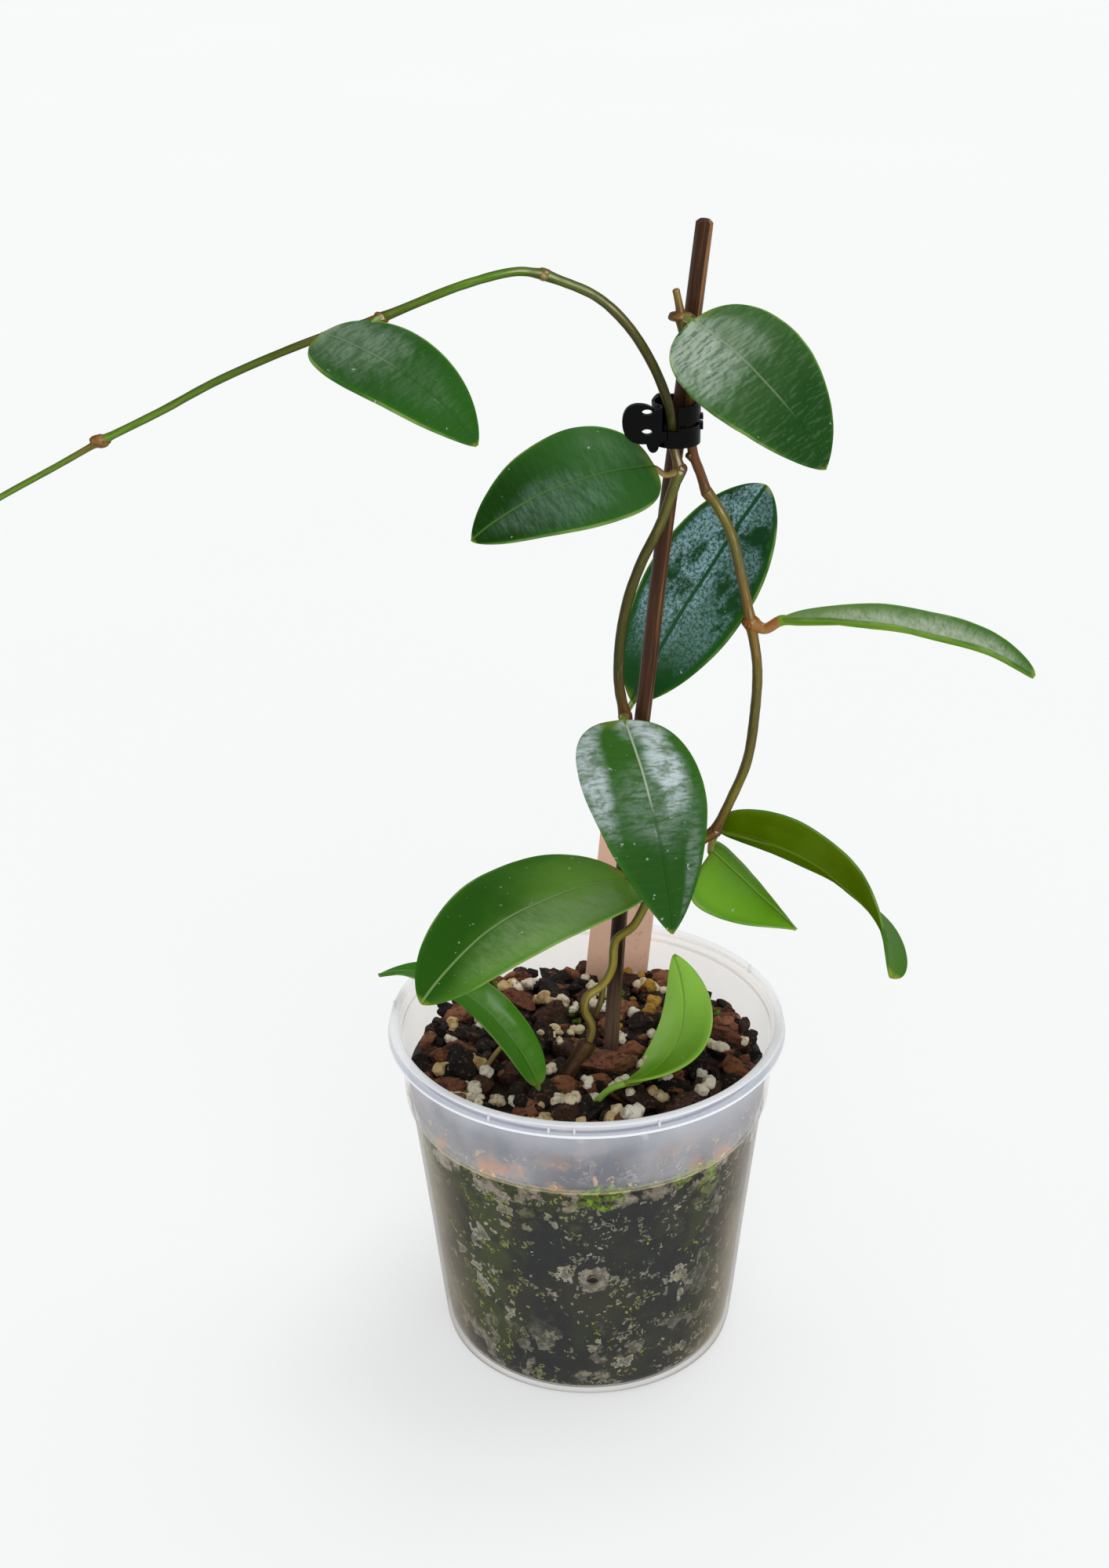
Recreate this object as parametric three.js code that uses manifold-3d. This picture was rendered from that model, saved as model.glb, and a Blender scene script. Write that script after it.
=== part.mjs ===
// A climbing hoya in a 12 cm clear plastic pot: the pot, its chunky bark mix, a thin cane, a blank
// label, a spring clip, the branching stem and eleven leaves. Millimetres, +Z up, with the origin at
// the middle of the pot's underside.
import * as THREE from 'three';
import { mergeVertices } from 'three/addons/utils/BufferGeometryUtils.js';
import Module from 'manifold-3d';

const wasm = await Module();
wasm.setup();

// Driving dimensions
const GAP = 0.3; // air between two pieces that touch
const POT_HEIGHT = 109;
const POT_RIM_R = 60;
const POT_BASE_R = 44.8;
const SHOULDER_Z = 82; // top of the tapered body, where the collar steps out
const SHOULDER_R = 53.6;
const COLLAR_R = 55.4;
const COLLAR_TOP_R = 56.6;
const RIM_BAND = 3.4; // height of the thick band round the rim
const WALL = 1.1;
const FLOOR = 1.6;
const MIX_TOP = 93.5; // level of the fine filling under the loose chips
const CANE_R = 2.3;
const LABEL_WIDTH = 19.6;
const LABEL_THICKNESS = 0.9;
const ROUND = 48; // flats round the pot
const BLADE_THICKNESS = 1.3;
const BLADE_EDGE = 0.8;
const PETIOLE_R = 1; // where a leaf gives no radius of its own

const v = (x, y, z) => new THREE.Vector3(x, y, z);
const radians = THREE.MathUtils.degToRad;

// Solids: a closed geometry becomes a solid that can be joined and cut, and goes back again
function solidOf(geometry) {
  const bare = geometry.clone();
  for (const name of Object.keys(bare.attributes)) {
    if (name !== 'position') bare.deleteAttribute(name);
  }
  const merged = mergeVertices(bare, 1e-4);
  const index = merged.index.array;
  const triVerts = [];
  for (let i = 0; i < index.length; i += 3) {
    const [a, b, c] = [index[i], index[i + 1], index[i + 2]];
    if (a !== b && b !== c && c !== a) triVerts.push(a, b, c);
  }
  return new wasm.Manifold(new wasm.Mesh({
    numProp: 3,
    vertProperties: new Float32Array(merged.attributes.position.array),
    triVerts: new Uint32Array(triVerts),
  }));
}

function geometryOf(solid) {
  const mesh = solid.getMesh();
  const geometry = new THREE.BufferGeometry();
  geometry.setAttribute('position', new THREE.BufferAttribute(mesh.vertProperties, 3));
  geometry.setIndex(new THREE.BufferAttribute(mesh.triVerts, 1));
  geometry.computeVertexNormals();
  return geometry;
}

function join(solids) {
  return solids.reduce((whole, piece) => whole.add(piece));
}

function placed(geometry, position, rotation = [0, 0, 0], scale = [1, 1, 1]) {
  const matrix = new THREE.Matrix4().compose(
    position,
    new THREE.Quaternion().setFromEuler(new THREE.Euler(...rotation)),
    v(...scale),
  );
  return solidOf(geometry.clone().applyMatrix4(matrix));
}

function curveThrough(points) {
  return new THREE.CatmullRomCurve3(points.map((p) => v(...p)), false, 'centripetal');
}

function rod(points, radius, sides = 8, step = 3) {
  const path = curveThrough(points);
  const section = new THREE.Shape();
  for (let i = 0; i < sides; i++) {
    const angle = (2 * Math.PI * i) / sides;
    if (i === 0) section.moveTo(radius, 0);
    else section.lineTo(radius * Math.cos(angle), radius * Math.sin(angle));
  }
  const steps = Math.max(2, Math.ceil(path.getLength() / step));
  return solidOf(new THREE.ExtrudeGeometry(section, { extrudePath: path, steps, bevelEnabled: false }));
}

// A turned body: the profile is a list of [radius, height] that starts and ends on the axis
function turned(profile, segments) {
  const lathe = new THREE.LatheGeometry(profile.map(([r, z]) => new THREE.Vector2(r, z)), segments);
  return solidOf(lathe.rotateX(Math.PI / 2));
}

// Seeded random numbers from 0 to 1
function dice(seed) {
  let state = seed;
  return () => {
    state = (state + 0x6d2b79f5) | 0;
    let t = Math.imul(state ^ (state >>> 15), 1 | state);
    t = (t + Math.imul(t ^ (t >>> 7), 61 | t)) ^ t;
    return ((t ^ (t >>> 14)) >>> 0) / 4294967296;
  };
}

// Pot: one moulding with a stepped collar and a thick rim, drain holes and one small side hole
function bodyRadius(z) {
  return POT_BASE_R + ((SHOULDER_R - POT_BASE_R) * z) / SHOULDER_Z;
}

const POT_INSIDE = [
  [COLLAR_TOP_R - 0.3, POT_HEIGHT],
  [COLLAR_TOP_R - WALL, POT_HEIGHT - RIM_BAND],
  [COLLAR_R - WALL, SHOULDER_Z + 4],
  [SHOULDER_R - WALL, SHOULDER_Z + 1],
  [bodyRadius(FLOOR + 3) - WALL, FLOOR + 3],
  [bodyRadius(FLOOR) - WALL - 3, FLOOR],
];

function makePot() {
  const outside = [
    [0, 0],
    [POT_BASE_R - 4, 0],
    [POT_BASE_R - 1.2, 0.9],
    [bodyRadius(3.5), 3.5],
    [bodyRadius(SHOULDER_Z * 0.5) + 0.1, SHOULDER_Z * 0.5],
    [SHOULDER_R, SHOULDER_Z],
    [COLLAR_R - 0.5, SHOULDER_Z + 1.6],
    [COLLAR_R, SHOULDER_Z + 4],
    [COLLAR_TOP_R, POT_HEIGHT - RIM_BAND],
    [POT_RIM_R - 0.5, POT_HEIGHT - RIM_BAND],
    [POT_RIM_R, POT_HEIGHT - RIM_BAND + 0.8],
    [POT_RIM_R, POT_HEIGHT - 1.2],
    [POT_RIM_R - 1.2, POT_HEIGHT],
  ];
  let pot = turned([...outside, ...POT_INSIDE, [0, FLOOR]], ROUND);
  const drain = new THREE.CylinderGeometry(3, 3, 3 * FLOOR, 12).rotateX(Math.PI / 2);
  const drains = 8;
  for (let i = 0; i < drains; i++) {
    const angle = (2 * Math.PI * (i + 0.5)) / drains;
    pot = pot.subtract(placed(drain, v(32 * Math.cos(angle), 32 * Math.sin(angle), FLOOR / 2)));
  }
  const sideHole = new THREE.CylinderGeometry(1.8, 1.8, 8, 12);
  return pot.subtract(placed(sideHole, v(1.3, -49.5, 47.4)));
}

// Cane: a thin brown stick, a little bowed, pushed deep into the mix
const CANE = [[5.3, 1, 48], [7.5, 1, 99], [11.3, 1, 158], [17.1, 1, 212], [22, 1, 260], [26.8, 1, 301], [32, 1, 347]];

// Label: a blank plastic tag with a pointed foot, leaning a little to the right
function makeLabel(grow = 0) {
  const half = LABEL_WIDTH / 2 + grow;
  const foot = -42 - grow;
  const top = 58;
  const outline = new THREE.Shape();
  outline.moveTo(0, foot);
  outline.lineTo(half, foot + 12);
  outline.lineTo(half, top - 3);
  outline.lineTo(half - 3, top);
  outline.lineTo(3 - half, top);
  outline.lineTo(-half, top - 3);
  outline.lineTo(-half, foot + 12);
  const depth = LABEL_THICKNESS + 2 * grow;
  const tag = new THREE.ExtrudeGeometry(outline, { depth, bevelEnabled: false }).translate(0, 0, -depth / 2);
  return placed(tag.rotateX(Math.PI / 2), v(9.8, 44, 98.5), [0, radians(5.5), 0]);
}

// Clip: a springy moulded ring in two bands, with two finger tabs on its left
const CLIP = { x: 25.1, y: -0.9, low: 288.9, high: 300.2, inner: 5.8, outer: 6.6 };

function makeClip() {
  const { x, y, low, high, inner, outer } = CLIP;
  const middle = (low + high) / 2;
  const band = turned([[inner, low], [outer, low], [outer, high], [inner, high], [inner, low]], 36);
  let clip = band.translate([x, y, 0]);
  const rib = new THREE.BoxGeometry(1.2, 2.4, 4);
  clip = clip.add(placed(rib, v(x + outer, y, middle)));

  const lever = (outline, from, depth) => {
    const plate = new THREE.ExtrudeGeometry(outline, { depth, bevelEnabled: false }).rotateX(Math.PI / 2);
    return solidOf(plate.translate(0, from + depth, 0));
  };
  const front = new THREE.Shape();
  front.moveTo(22.4, 291);
  front.lineTo(22.4, 299.7);
  front.lineTo(21.3, 300.3);
  front.lineTo(19.2, 299.4);
  front.quadraticCurveTo(17.6, 301.3, 14.3, 301.1);
  front.quadraticCurveTo(10.6, 300.6, 10.6, 296);
  front.quadraticCurveTo(10.8, 291, 15.2, 290.2);
  front.lineTo(17, 290.2);
  front.quadraticCurveTo(17.6, 287.8, 18.8, 287.8);
  front.quadraticCurveTo(20.2, 287.8, 20.5, 290.2);
  for (const [x0, z0] of [[17.2, 298.9], [17.2, 293.5]]) {
    const window = new THREE.Path();
    window.absellipse(x0, z0, 1.4, 0.8, 0, 2 * Math.PI, true);
    front.holes.push(window);
  }
  const rear = new THREE.Shape();
  rear.moveTo(24, 289.6);
  rear.lineTo(24, 299.3);
  rear.quadraticCurveTo(20.6, 302, 18.8, 298.6);
  rear.lineTo(19.2, 292);
  rear.lineTo(20.6, 289.6);
  clip = join([clip, lever(front, -7.3, 1.6), lever(rear, 4.1, 1.5)]);

  const slot = new THREE.BoxGeometry(10, 12, 0.9);
  clip = clip.subtract(placed(slot, v(x + 5.6, y - 4, middle + 0.3)));
  const notch = new THREE.BoxGeometry(4.2, 6, 9);
  return clip.subtract(placed(notch, v(23.3, -8, middle + 3.5)));
}

// Stem: internodes of even thickness that meet in swollen nodes, all one living body
const NODES = {
  first: [18.6, -4.8, 152],
  left: [11.5, -3, 209.5],
  clip: [26, -5.7, 282.5],
  crest: [-9.4, -17, 338.3],
  whipLeaf: [-51, -19, 328],
  whipEnd: [-125.3, -20, 296.5],
  right: [37.8, 1.5, 170.2],
  bow: [46.6, 1, 235.7],
  upper: [33.5, 0.6, 274.3],
  top: [25.9, -6.4, 324.3],
};

const INTERNODES = [
  { r: 2.5, step: 3, points: [[-6.4, -14, 80], [-6.2, -13, 95], [-3, -10.6, 99.4], [0.3, -9, 104.4]] },
  {
    r: 1.6, step: 2.6,
    points: [[-3, -10.6, 99.4], [0.5, -9, 104.6], [1.6, -8, 109.5], [-0.5, -8, 115.8], [0.2, -8, 120], [4.9, -7, 123.6],
      [7.7, -6.5, 129], [8.8, -6, 138], [14.1, -6, 143.2], NODES.first],
  },
  { r: 1.6, points: [NODES.first, [20, -4.6, 162], [18.6, -4.6, 180], [14, -4.2, 198], NODES.left] },
  { r: 1.5, points: [NODES.first, [23, -3.6, 158], [30, -0.5, 165], NODES.right] },
  {
    r: 1.45,
    points: [NODES.right, [41.9, 1, 180], [46.5, 1, 192.8], [48.4, 1, 208.3], [48.7, 1, 222.3], NODES.bow],
  },
  { r: 1.45, points: [NODES.bow, [43.9, 1, 248.4], [40.4, 1, 262.2], [36.4, 0.9, 270.2], NODES.upper] },
  {
    r: 1.35,
    points: [NODES.upper, [32, 0.2, 279.1], [29.8, -0.9, 285.4], [28.9, -1.6, 293], [28.8, -2.8, 301.5],
      [29.3, -4.4, 308], [27.2, -6, 317], NODES.top],
  },
  {
    r: 1.5,
    points: [NODES.left, [9.9, -4.6, 219], [9.9, -5, 230], [12, -5, 244], [15.9, -5, 256], [21, -5.4, 267], NODES.clip],
  },
  {
    r: 1.3,
    points: [NODES.clip, [24.4, -4.4, 288.8], [24.2, -4.3, 292.2], [23.6, -6.4, 297.4], [22.5, -8.7, 302.4],
      [18.4, -10.8, 313], [11.8, -13, 324], [3.8, -15, 332], NODES.crest],
  },
  { r: 1.15, points: [NODES.crest, [-16, -18, 339.3], [-29, -18.5, 336.4], NODES.whipLeaf] },
  { r: 1.05, points: [NODES.whipLeaf, [-69, -19.5, 322.4], [-93, -20, 312.6], [-109, -20, 304.3], NODES.whipEnd] },
  { r: 0.85, points: [NODES.whipEnd, [-136.5, -20, 290.3], [-153.2, -20, 281.4], [-163, -20, 275.6]] },
];

const AERIAL_ROOT = { r: 0.9, points: [[5, -7, 123.6], [4.4, -6.4, 118], [2.6, -5, 111.5]] };
const DRY_STUB = { r: 1, points: [NODES.top, [24.5, -6.2, 331.2]] };
const CUT_STUB = { r: 1, points: [[30.9, 0, 282.4], [28.4, -1.6, 285.4]] };
const SWELLING = new THREE.SphereGeometry(1, 8, 5).rotateX(Math.PI / 2);
const SWELL_SIZES = { crest: [2.1, 1.8, 1.7], whipLeaf: [1.9, 1.5, 1.5], whipEnd: [2.2, 1.6, 1.6], top: [3.3, 2.4, 1.5], upper: [1.8, 1.8, 1.8] };
const swellSize = (name) => SWELL_SIZES[name] ?? [2.1, 2.1, 2.4];

function stemRod({ r, points, step = 7 }, grow = 0) {
  return rod(points, r + grow, 6, step);
}

function makeStem() {
  const runs = [...INTERNODES, AERIAL_ROOT, DRY_STUB, CUT_STUB];
  const rods = runs.map((run) => stemRod(run));
  const knots = Object.entries(NODES).map(([name, at]) => placed(SWELLING, v(...at), [0, 0, 0], swellSize(name)));
  const growingTip = placed(SWELLING, v(-163.4, -20, 275.4), [0, 0.5, 0], [2.4, 1.1, 1.2]);
  return join([...rods, ...knots, growingTip]);
}

// Leaves: a blade bent along its midrib, on its petiole. Angles in degrees: heading round +Z from
// +X, pitch up from level, roll about the midrib, arch the droop from base to tip, hook the extra
// droop near the tip, sweep the sideways bend, twist at the tip. Cup lifts the edges.
const LEAVES = [
  {
    name: 'leaf_whip', base: [-64.4, -33.8, 327.9], length: 49, width: 37.3, shape: [0.4, 0.8],
    heading: -23, pitch: -11, roll: 5, arch: 37, hook: 5, sweep: -1, twist: 3, cup: 0,
    from: 'whipLeaf', petiole: 0.8, via: [[-53.6, -23.6, 327.2], [-60.2, -30.6, 327]],
  },
  {
    name: 'leaf_top', base: [28.6, -10, 324], length: 53, width: 39.5, shape: [0.4, 0.8],
    heading: -36, pitch: -20, roll: 17, arch: 39, hook: 5, sweep: -6, twist: 1, cup: -0.04,
    from: 'top', via: [],
  },
  {
    name: 'leaf_middle_left', base: [19.1, -8, 284.1], length: 54.2, width: 38.9, shape: [0.4, 0.8],
    heading: 200, pitch: 5, roll: -20, arch: 47, hook: 5, sweep: 3, twist: -6, cup: 0.04,
    from: 'clip', petiole: 0.8, via: [[22.2, -8.2, 282]],
  },
  {
    name: 'leaf_behind_cane', base: [13.8, 8, 208.7], length: 72.2, width: 38.6, shape: [0.7, 0.65],
    heading: 28, pitch: 59, roll: 15, arch: 9, hook: -5, sweep: -7, twist: 4, cup: 0,
    from: 'left', via: [[11.6, 2.4, 207.2]],
  },
  {
    name: 'leaf_front', base: [11, -9, 210.5], length: 62.2, width: 42.4, shape: [0.35, 0.85],
    heading: -66, pitch: -38, roll: -17, arch: 25, hook: 5, sweep: 2, twist: 0, cup: -0.04,
    from: 'left', via: [],
  },
  {
    name: 'leaf_lower_left', base: [13.5, -8, 159.2], length: 77.5, width: 43.2, shape: [0.4, 0.7],
    heading: 212, pitch: 15, roll: 1, arch: 52, hook: 9, sweep: 6, twist: -19, cup: 0.07,
    from: 'first', via: [[17, -9, 154.6]],
  },
  {
    name: 'leaf_right', base: [55, -1, 237.3], length: 71.7, width: 33.3, shape: [0.4, 0.5],
    heading: -9, pitch: 4, roll: -13, arch: 23, hook: 11, sweep: -1, twist: 4, cup: 0.2,
    from: 'bow', petiole: 1.2, via: [[51.1, 0, 234.6]],
  },
  {
    name: 'leaf_right_drooping', base: [39.3, 9, 167], length: 74.7, width: 34.9, shape: [0.4, 0.5],
    heading: -16, pitch: -2, roll: -51, arch: 56, hook: 25, sweep: -1, twist: 21, cup: 0.18,
    from: 'right', via: [[38.1, 6.4, 168.2]],
  },
  {
    name: 'leaf_lower_right', base: [36.9, 2.5, 163], length: 34, width: 34, shape: [0.14, 0.88],
    heading: -14, pitch: -41, roll: 5, arch: 4, hook: 0, sweep: 4, twist: -2, cup: -0.4,
    from: 'right', via: [],
  },
  {
    name: 'leaf_in_pot_right', base: [11.4, -30, 104.1], length: 51, width: 31.3, shape: [0.4, 0.78],
    heading: 32, pitch: -12, roll: -34, arch: -111, hook: 0, sweep: 2, twist: 4, cup: -0.03,
    from: [1, -36, 88], via: [[3, -34, 97], [6.6, -32, 102.4]],
  },
  {
    name: 'leaf_in_pot_left', base: [-14.4, -24, 99.3], length: 72.8, width: 16, shape: [0.42, 0.74],
    heading: 131, pitch: 54, roll: 12, arch: 86, hook: 0, sweep: 2, twist: -6, cup: 0.25,
    from: [-13.4, -26, 88], via: [[-13.8, -25, 95]],
  },
];

// Half width of a blade at t along it, as a share of its greatest half width
function bladeShare(t, [round, taper]) {
  const widest = round / (round + taper);
  return Math.pow(t / widest, round) * Math.pow(Math.max(0, (1 - t) / (1 - widest)), taper);
}

function bladeFrames(leaf, count) {
  const turn = new THREE.Matrix4().makeRotationZ(radians(leaf.heading))
    .multiply(new THREE.Matrix4().makeRotationY(-radians(leaf.pitch)))
    .multiply(new THREE.Matrix4().makeRotationX(radians(leaf.roll)));
  const along = (t) => {
    const droop = -radians(leaf.arch) * t - radians(leaf.hook) * Math.max(0, (t - 0.6) / 0.4);
    const aside = radians(leaf.sweep) * t;
    return v(Math.cos(droop) * Math.cos(aside), Math.cos(droop) * Math.sin(aside), Math.sin(droop));
  };
  const fine = 80;
  const spine = [v(0, 0, 0)];
  for (let i = 0; i < fine; i++) {
    spine.push(spine[i].clone().addScaledVector(along((i + 0.5) / fine), leaf.length / fine));
  }
  const frames = [];
  for (let i = 0; i <= count; i++) {
    const t = (1 - Math.cos((Math.PI * i) / count)) / 2;
    const place = Math.min(fine - 1e-6, t * fine);
    const low = Math.floor(place);
    const centre = spine[low].clone().lerp(spine[low + 1], place - low);
    const aside = radians(leaf.sweep) * t;
    const side = v(-Math.sin(aside), Math.cos(aside), 0).applyAxisAngle(along(t), radians(leaf.twist) * t ** 3);
    const up = along(t).cross(side);
    for (const axis of [side, up]) axis.transformDirection(turn);
    frames.push({ t, centre: centre.applyMatrix4(turn).add(v(...leaf.base)), side, up });
  }
  return frames;
}

function makeBlade(leaf, grow = 0) {
  const rows = 11;
  const columns = 4;
  const top = [];
  const under = [];
  for (const { t, centre, side, up } of bladeFrames(leaf, rows)) {
    const half = Math.max(0.9 - 0.4 * t, (leaf.width / 2) * bladeShare(t, leaf.shape)) + grow;
    for (let j = 0; j <= columns; j++) {
      const u = (2 * j) / columns - 1;
      const thick = BLADE_THICKNESS + (BLADE_EDGE - BLADE_THICKNESS) * u * u + 2 * grow;
      const at = centre.clone().addScaledVector(side, half * u).addScaledVector(up, leaf.cup * half * u * u);
      top.push(at.clone().addScaledVector(up, thick / 2));
      under.push(at.clone().addScaledVector(up, -thick / 2));
    }
  }
  const points = [...top, ...under];
  const faces = [];
  const quad = (a, b, c, d) => faces.push(a, b, c, a, c, d);
  const at = (i, j) => i * (columns + 1) + j;
  const below = top.length;
  for (let i = 0; i < rows; i++) {
    for (let j = 0; j < columns; j++) {
      quad(at(i, j), at(i + 1, j), at(i + 1, j + 1), at(i, j + 1));
      faces.push(below + at(i, j), below + at(i + 1, j + 1), below + at(i + 1, j));
      faces.push(below + at(i, j), below + at(i, j + 1), below + at(i + 1, j + 1));
    }
    quad(at(i, columns), at(i + 1, columns), below + at(i + 1, columns), below + at(i, columns));
    quad(at(i + 1, 0), at(i, 0), below + at(i, 0), below + at(i + 1, 0));
  }
  for (let j = 0; j < columns; j++) {
    quad(at(0, j), at(0, j + 1), below + at(0, j + 1), below + at(0, j));
    quad(at(rows, j + 1), at(rows, j), below + at(rows, j), below + at(rows, j + 1));
  }
  const geometry = new THREE.BufferGeometry();
  geometry.setAttribute('position', new THREE.Float32BufferAttribute(points.flatMap((p) => p.toArray()), 3));
  geometry.setIndex(faces);
  return solidOf(geometry);
}

// A petiole starts a hair's breadth off the swelling that it grows from, or down in the mix
function petiolePath(leaf, grow) {
  const [base, inside] = bladeFrames(leaf, 8).map(({ centre }) => centre);
  const next = leaf.via.length ? v(...leaf.via[0]) : base;
  const origin = v(...(NODES[leaf.from] ?? leaf.from));
  const heading = next.clone().sub(origin).normalize();
  let off = -grow;
  if (NODES[leaf.from]) {
    const [a, b, c] = swellSize(leaf.from);
    off = 1.5 * GAP + 1 / Math.hypot(heading.x / a, heading.y / b, heading.z / c);
  }
  const start = origin.addScaledVector(heading, off);
  return [start.toArray(), ...leaf.via, base.toArray(), inside.toArray()];
}

function makeLeaf(leaf, grow = 0) {
  return makeBlade(leaf, grow).add(rod(petiolePath(leaf, grow), (leaf.petiole ?? PETIOLE_R) + grow, 6, 2.5));
}

// Potting mix: a filling with bark chips and mineral grains sunk into its top, and plain holes
// round everything that stands in it
const BARK_SPACING = 10.6;
const GRAINS = 44;
const TWIG = [[-24, 4, 97], [-28, -6, 97.6], [-31.4, -14, 96]];

function makeMix() {
  const random = dice(12);
  const between = (low, high) => low + (high - low) * random();
  const inside = POT_INSIDE.map(([r, z]) => [r - GAP, Math.max(z, FLOOR + GAP)]).reverse();
  const room = turned([[0, FLOOR + GAP], ...inside.slice(0, -1), [COLLAR_TOP_R - WALL - GAP, 112], [0, 112]], ROUND);
  const fill = new THREE.CylinderGeometry(70, 70, MIX_TOP, 48).rotateX(Math.PI / 2);
  const lump = (geometry) => {
    const rough = mergeVertices(new THREE.BufferGeometry()
      .setAttribute('position', geometry.attributes.position.clone()), 1e-3);
    const position = rough.attributes.position;
    for (let i = 0; i < position.count; i++) {
      const stretch = between(0.78, 1.22);
      position.setXYZ(i, position.getX(i) * stretch, position.getY(i) * stretch, position.getZ(i) * stretch);
    }
    return rough;
  };
  const pieces = [placed(fill, v(0, 0, MIX_TOP / 2))];
  const edge = COLLAR_R - WALL - 3;
  for (let x = -edge; x < edge; x += BARK_SPACING) {
    for (let y = -edge; y < edge; y += BARK_SPACING) {
      const at = v(x + between(-2.6, 2.6), y + between(-2.6, 2.6), MIX_TOP + between(0, 1.2));
      const size = [between(3.9, 6.8), between(3, 4.6), between(2.5, 3.6)];
      const turn = [between(-0.3, 0.3), between(-0.3, 0.3), between(0, Math.PI)];
      if (Math.hypot(at.x, at.y) < edge) pieces.push(placed(lump(new THREE.IcosahedronGeometry(1, 0)), at, turn, size));
    }
  }
  for (let i = 0; i < GRAINS; i++) {
    const angle = between(0, 2 * Math.PI);
    const out = edge * Math.sqrt(random());
    const size = between(1.5, 2.6);
    const at = v(out * Math.cos(angle), out * Math.sin(angle), MIX_TOP + between(2, 3));
    pieces.push(placed(lump(new THREE.OctahedronGeometry(1, 0)), at, [0, 0, angle], [size, size, size * 1.7]));
  }
  pieces.push(rod(TWIG, 0.7, 6, 6));
  let mix = join(pieces).intersect(room);
  const standing = [
    rod([[CANE[0][0], CANE[0][1], CANE[0][2] - GAP], ...CANE.slice(1, 3)], CANE_R + GAP, 12, 6),
    makeLabel(GAP),
    stemRod(INTERNODES[0], GAP),
    placed(new THREE.SphereGeometry(INTERNODES[0].r + GAP, 8, 6), v(...INTERNODES[0].points[0])),
    stemRod(AERIAL_ROOT, GAP),
    ...LEAVES.filter(({ name }) => name.startsWith('leaf_in_pot')).map((leaf) => makeLeaf(leaf, GAP)),
  ];
  for (const piece of standing) mix = mix.subtract(piece);
  const bodies = mix.decompose();
  return bodies.reduce((largest, body) => (body.volume() > largest.volume() ? body : largest));
}

// Materials, as the parts look
const finish = (color, roughness) => new THREE.MeshStandardMaterial({ color, roughness, metalness: 0 });
const CLEAR_PLASTIC = finish(0xd9dbe0, 0.35);
const BARK = finish(0x4a2f22, 0.9);
const CANE_BROWN = finish(0x3d2a24, 0.7);
const LABEL_PINK = finish(0xb89084, 0.6);
const BLACK_PLASTIC = finish(0x16171a, 0.4);
const STEM_OLIVE = finish(0x6b6a2a, 0.6);
const LEAF_GREEN = finish(0x2f6b28, 0.4);

const plant = new THREE.Group();
function addPiece(name, solid, material) {
  const mesh = new THREE.Mesh(geometryOf(solid), material);
  mesh.name = name;
  plant.add(mesh);
}

addPiece('pot', makePot(), CLEAR_PLASTIC);
addPiece('potting_mix', makeMix(), BARK);
addPiece('cane', rod(CANE, CANE_R, 12, 30), CANE_BROWN);
addPiece('label', makeLabel(), LABEL_PINK);
addPiece('clip', makeClip(), BLACK_PLASTIC);
addPiece('stem', makeStem(), STEM_OLIVE);
for (const leaf of LEAVES) addPiece(leaf.name, makeLeaf(leaf), LEAF_GREEN);

export default plant;
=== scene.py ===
import math
from types import SimpleNamespace

import bmesh
import bpy
import numpy as np
from mathutils import Euler, Matrix, Vector, noise
from mathutils.bvhtree import BVHTree


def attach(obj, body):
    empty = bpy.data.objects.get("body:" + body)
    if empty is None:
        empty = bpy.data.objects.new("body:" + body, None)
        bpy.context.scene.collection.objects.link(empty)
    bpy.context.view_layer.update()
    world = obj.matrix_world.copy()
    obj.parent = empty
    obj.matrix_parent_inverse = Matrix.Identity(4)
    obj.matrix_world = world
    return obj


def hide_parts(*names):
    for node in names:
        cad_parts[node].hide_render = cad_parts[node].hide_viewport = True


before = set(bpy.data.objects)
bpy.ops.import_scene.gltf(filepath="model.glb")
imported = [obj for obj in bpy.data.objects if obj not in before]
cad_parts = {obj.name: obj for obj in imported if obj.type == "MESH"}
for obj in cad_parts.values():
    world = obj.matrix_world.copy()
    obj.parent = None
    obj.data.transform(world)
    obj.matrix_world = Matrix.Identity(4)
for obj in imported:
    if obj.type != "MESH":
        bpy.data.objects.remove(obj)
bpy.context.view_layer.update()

# The camera stands in front of the plant, a little above the top of the cane, and looks down at it
# through a slightly long lens, which keeps the pot's rim close to a true oval.
MM = 0.001
PITCH, YAW, ROLL = 0.45454, -0.01427, -0.01367
CAMERA_PLACE = Vector((0, -607.77, 483.56)) * MM
forward = Vector((math.sin(YAW) * math.cos(PITCH), math.cos(YAW) * math.cos(PITCH), -math.sin(PITCH)))
level = forward.cross(Vector((0, 0, 1))).normalized()
over = level.cross(forward)
right = level * math.cos(ROLL) + over * math.sin(ROLL)
above = over * math.cos(ROLL) - level * math.sin(ROLL)
lens = bpy.data.cameras.new("camera")
lens.sensor_width = 36
lens.lens = 54
camera = bpy.data.objects.new("camera", lens)
turn = Matrix((right, above, -forward)).transposed().to_4x4()
camera.matrix_world = Matrix.Translation(CAMERA_PLACE) @ turn
bpy.context.scene.collection.objects.link(camera)
bpy.context.scene.camera = camera


# The floor is one wide sheet of matt white board that glows a little, as a backdrop lit from all sides.
# The helpers below write every finish and make every mesh.
def shade(code):
    """A colour from its usual six-digit code, as light."""
    parts = [int(code[i : i + 2], 16) / 255 for i in (0, 2, 4)]
    return (*[x / 12.92 if x < 0.04045 else ((x + 0.055) / 1.055) ** 2.4 for x in parts], 1)


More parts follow.
